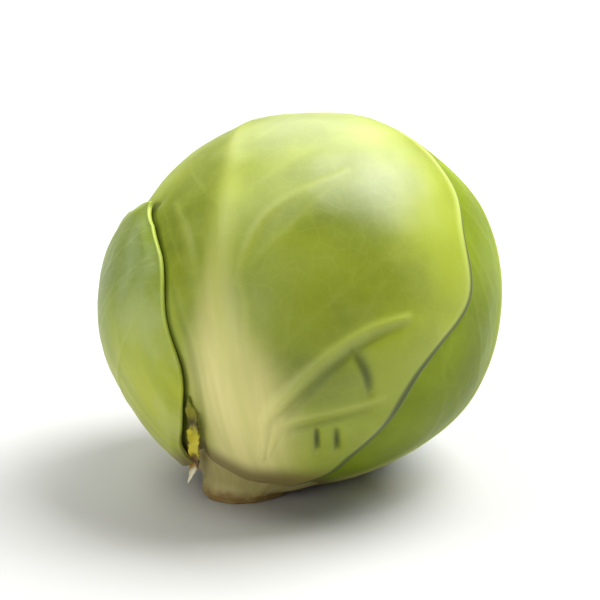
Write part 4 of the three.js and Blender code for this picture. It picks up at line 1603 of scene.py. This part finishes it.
@dataclass
class Studio:
    """A white paper floor, soft lights above and behind, and a long lens."""

    lights: tuple[SoftLight, ...] = (
        SoftLight("key", (-230.0, 0.0, 380.0), 300.0, 0.95),
        SoftLight("back", (-20.0, 380.0, 260.0), 300.0, 0.8),
        SoftLight("side", (225.0, 115.0, 395.0), 350.0, 4.5),
        SoftLight("fill", (-280.0, -340.0, 120.0), 260.0, 0.6),
    )
    floor_half_m: float = 3.0
    target_mm: Triple = (0.0, 0.0, 15.9)
    elevation_deg: float = 20.0
    distance_mm: float = 700.0
    frame_mm: float = 52.0
    sensor_mm: float = 36.0
    clip_m: Pair = (0.01, 20.0)
    sky: str = "#ffffff"
    sky_strength: float = 0.19

    def build(self, paper: bpy.types.Material) -> None:
        """Makes the floor, the lights, the surrounding light and the camera."""
        mesh, half = bpy.data.meshes.new("floor"), self.floor_half_m
        corners = [(-half, -half, 0), (half, -half, 0), (half, half, 0), (-half, half, 0)]
        mesh.from_pydata(corners, [], [(0, 1, 2, 3)])
        mesh.materials.append(paper)
        floor = bpy.data.objects.new("floor", mesh)
        bpy.context.scene.collection.objects.link(floor)
        for light in self.lights:
            lamp = bpy.data.lights.new(light.name, "AREA")
            lamp.size, lamp.energy = light.size_mm * MM, light.watts
            place = Vector(light.place_mm) * MM
            self.aim(lamp, place, Vector(self.target_mm) * MM - place)
        world = bpy.data.worlds.new("studio")
        bpy.context.scene.world = world
        world.use_nodes = True
        background = world.node_tree.nodes["Background"]
        background.inputs["Color"].default_value = linear(self.sky)
        background.inputs["Strength"].default_value = self.sky_strength
        bpy.context.scene.camera = self.camera()
        bpy.context.scene.view_settings.view_transform = "Standard"

    def aim(self, data: bpy.types.ID, place: Vector, toward: Vector) -> bpy.types.Object:
        """Puts a light or the camera in its place, facing along a direction."""
        obj = bpy.data.objects.new(data.name, data)
        obj.location = place
        obj.rotation_euler = toward.to_track_quat("-Z", "Y").to_euler()
        bpy.context.scene.collection.objects.link(obj)
        return obj

    def camera(self) -> bpy.types.Object:
        """Adds the camera at the photograph's angle."""
        elevation = math.radians(self.elevation_deg)
        back = Vector((0.0, -math.cos(elevation), math.sin(elevation)))
        camera = bpy.data.cameras.new("camera")
        camera.type = "PERSP"
        camera.sensor_width = self.sensor_mm
        camera.lens = self.sensor_mm * self.distance_mm / self.frame_mm
        camera.clip_start, camera.clip_end = self.clip_m
        return self.aim(camera, (Vector(self.target_mm) + back * self.distance_mm) * MM, -back)


def main() -> None:
    """Builds the sprout and its studio, and reports each piece."""
    logging.basicConfig(level=logging.INFO, format="%(name)s: %(message)s", stream=sys.stdout)
    slots = {part["node"]: part["material_slot"] for part in frame["record"]["subparts"]}
    head = HeadForm()
    stack = LeafStack(head, LEAF_PLANS)
    tree = blade_tree()
    finishes = {kind: kind.value.material() for kind in LeafKind}
    pieces = [
        Stalk(head).build(CutStalkFinish().material()),
        InnerHead(stack).build(finishes[LeafKind.INNER]),
    ]
    for index, plan in enumerate(LEAF_PLANS):
        pieces.append(WrapperLeaf(stack, index, tree, slots[plan.node]).build(finishes[plan.kind]))
    pieces.append(TornScrap(stack, tree).build(TornLeafFinish().material()))
    for piece in pieces:
        LOG.info("%s: %d faces", piece.name, len(piece.data.polygons))
    Studio().build(PaperFinish().material())


if __name__ == "__main__":
    main()
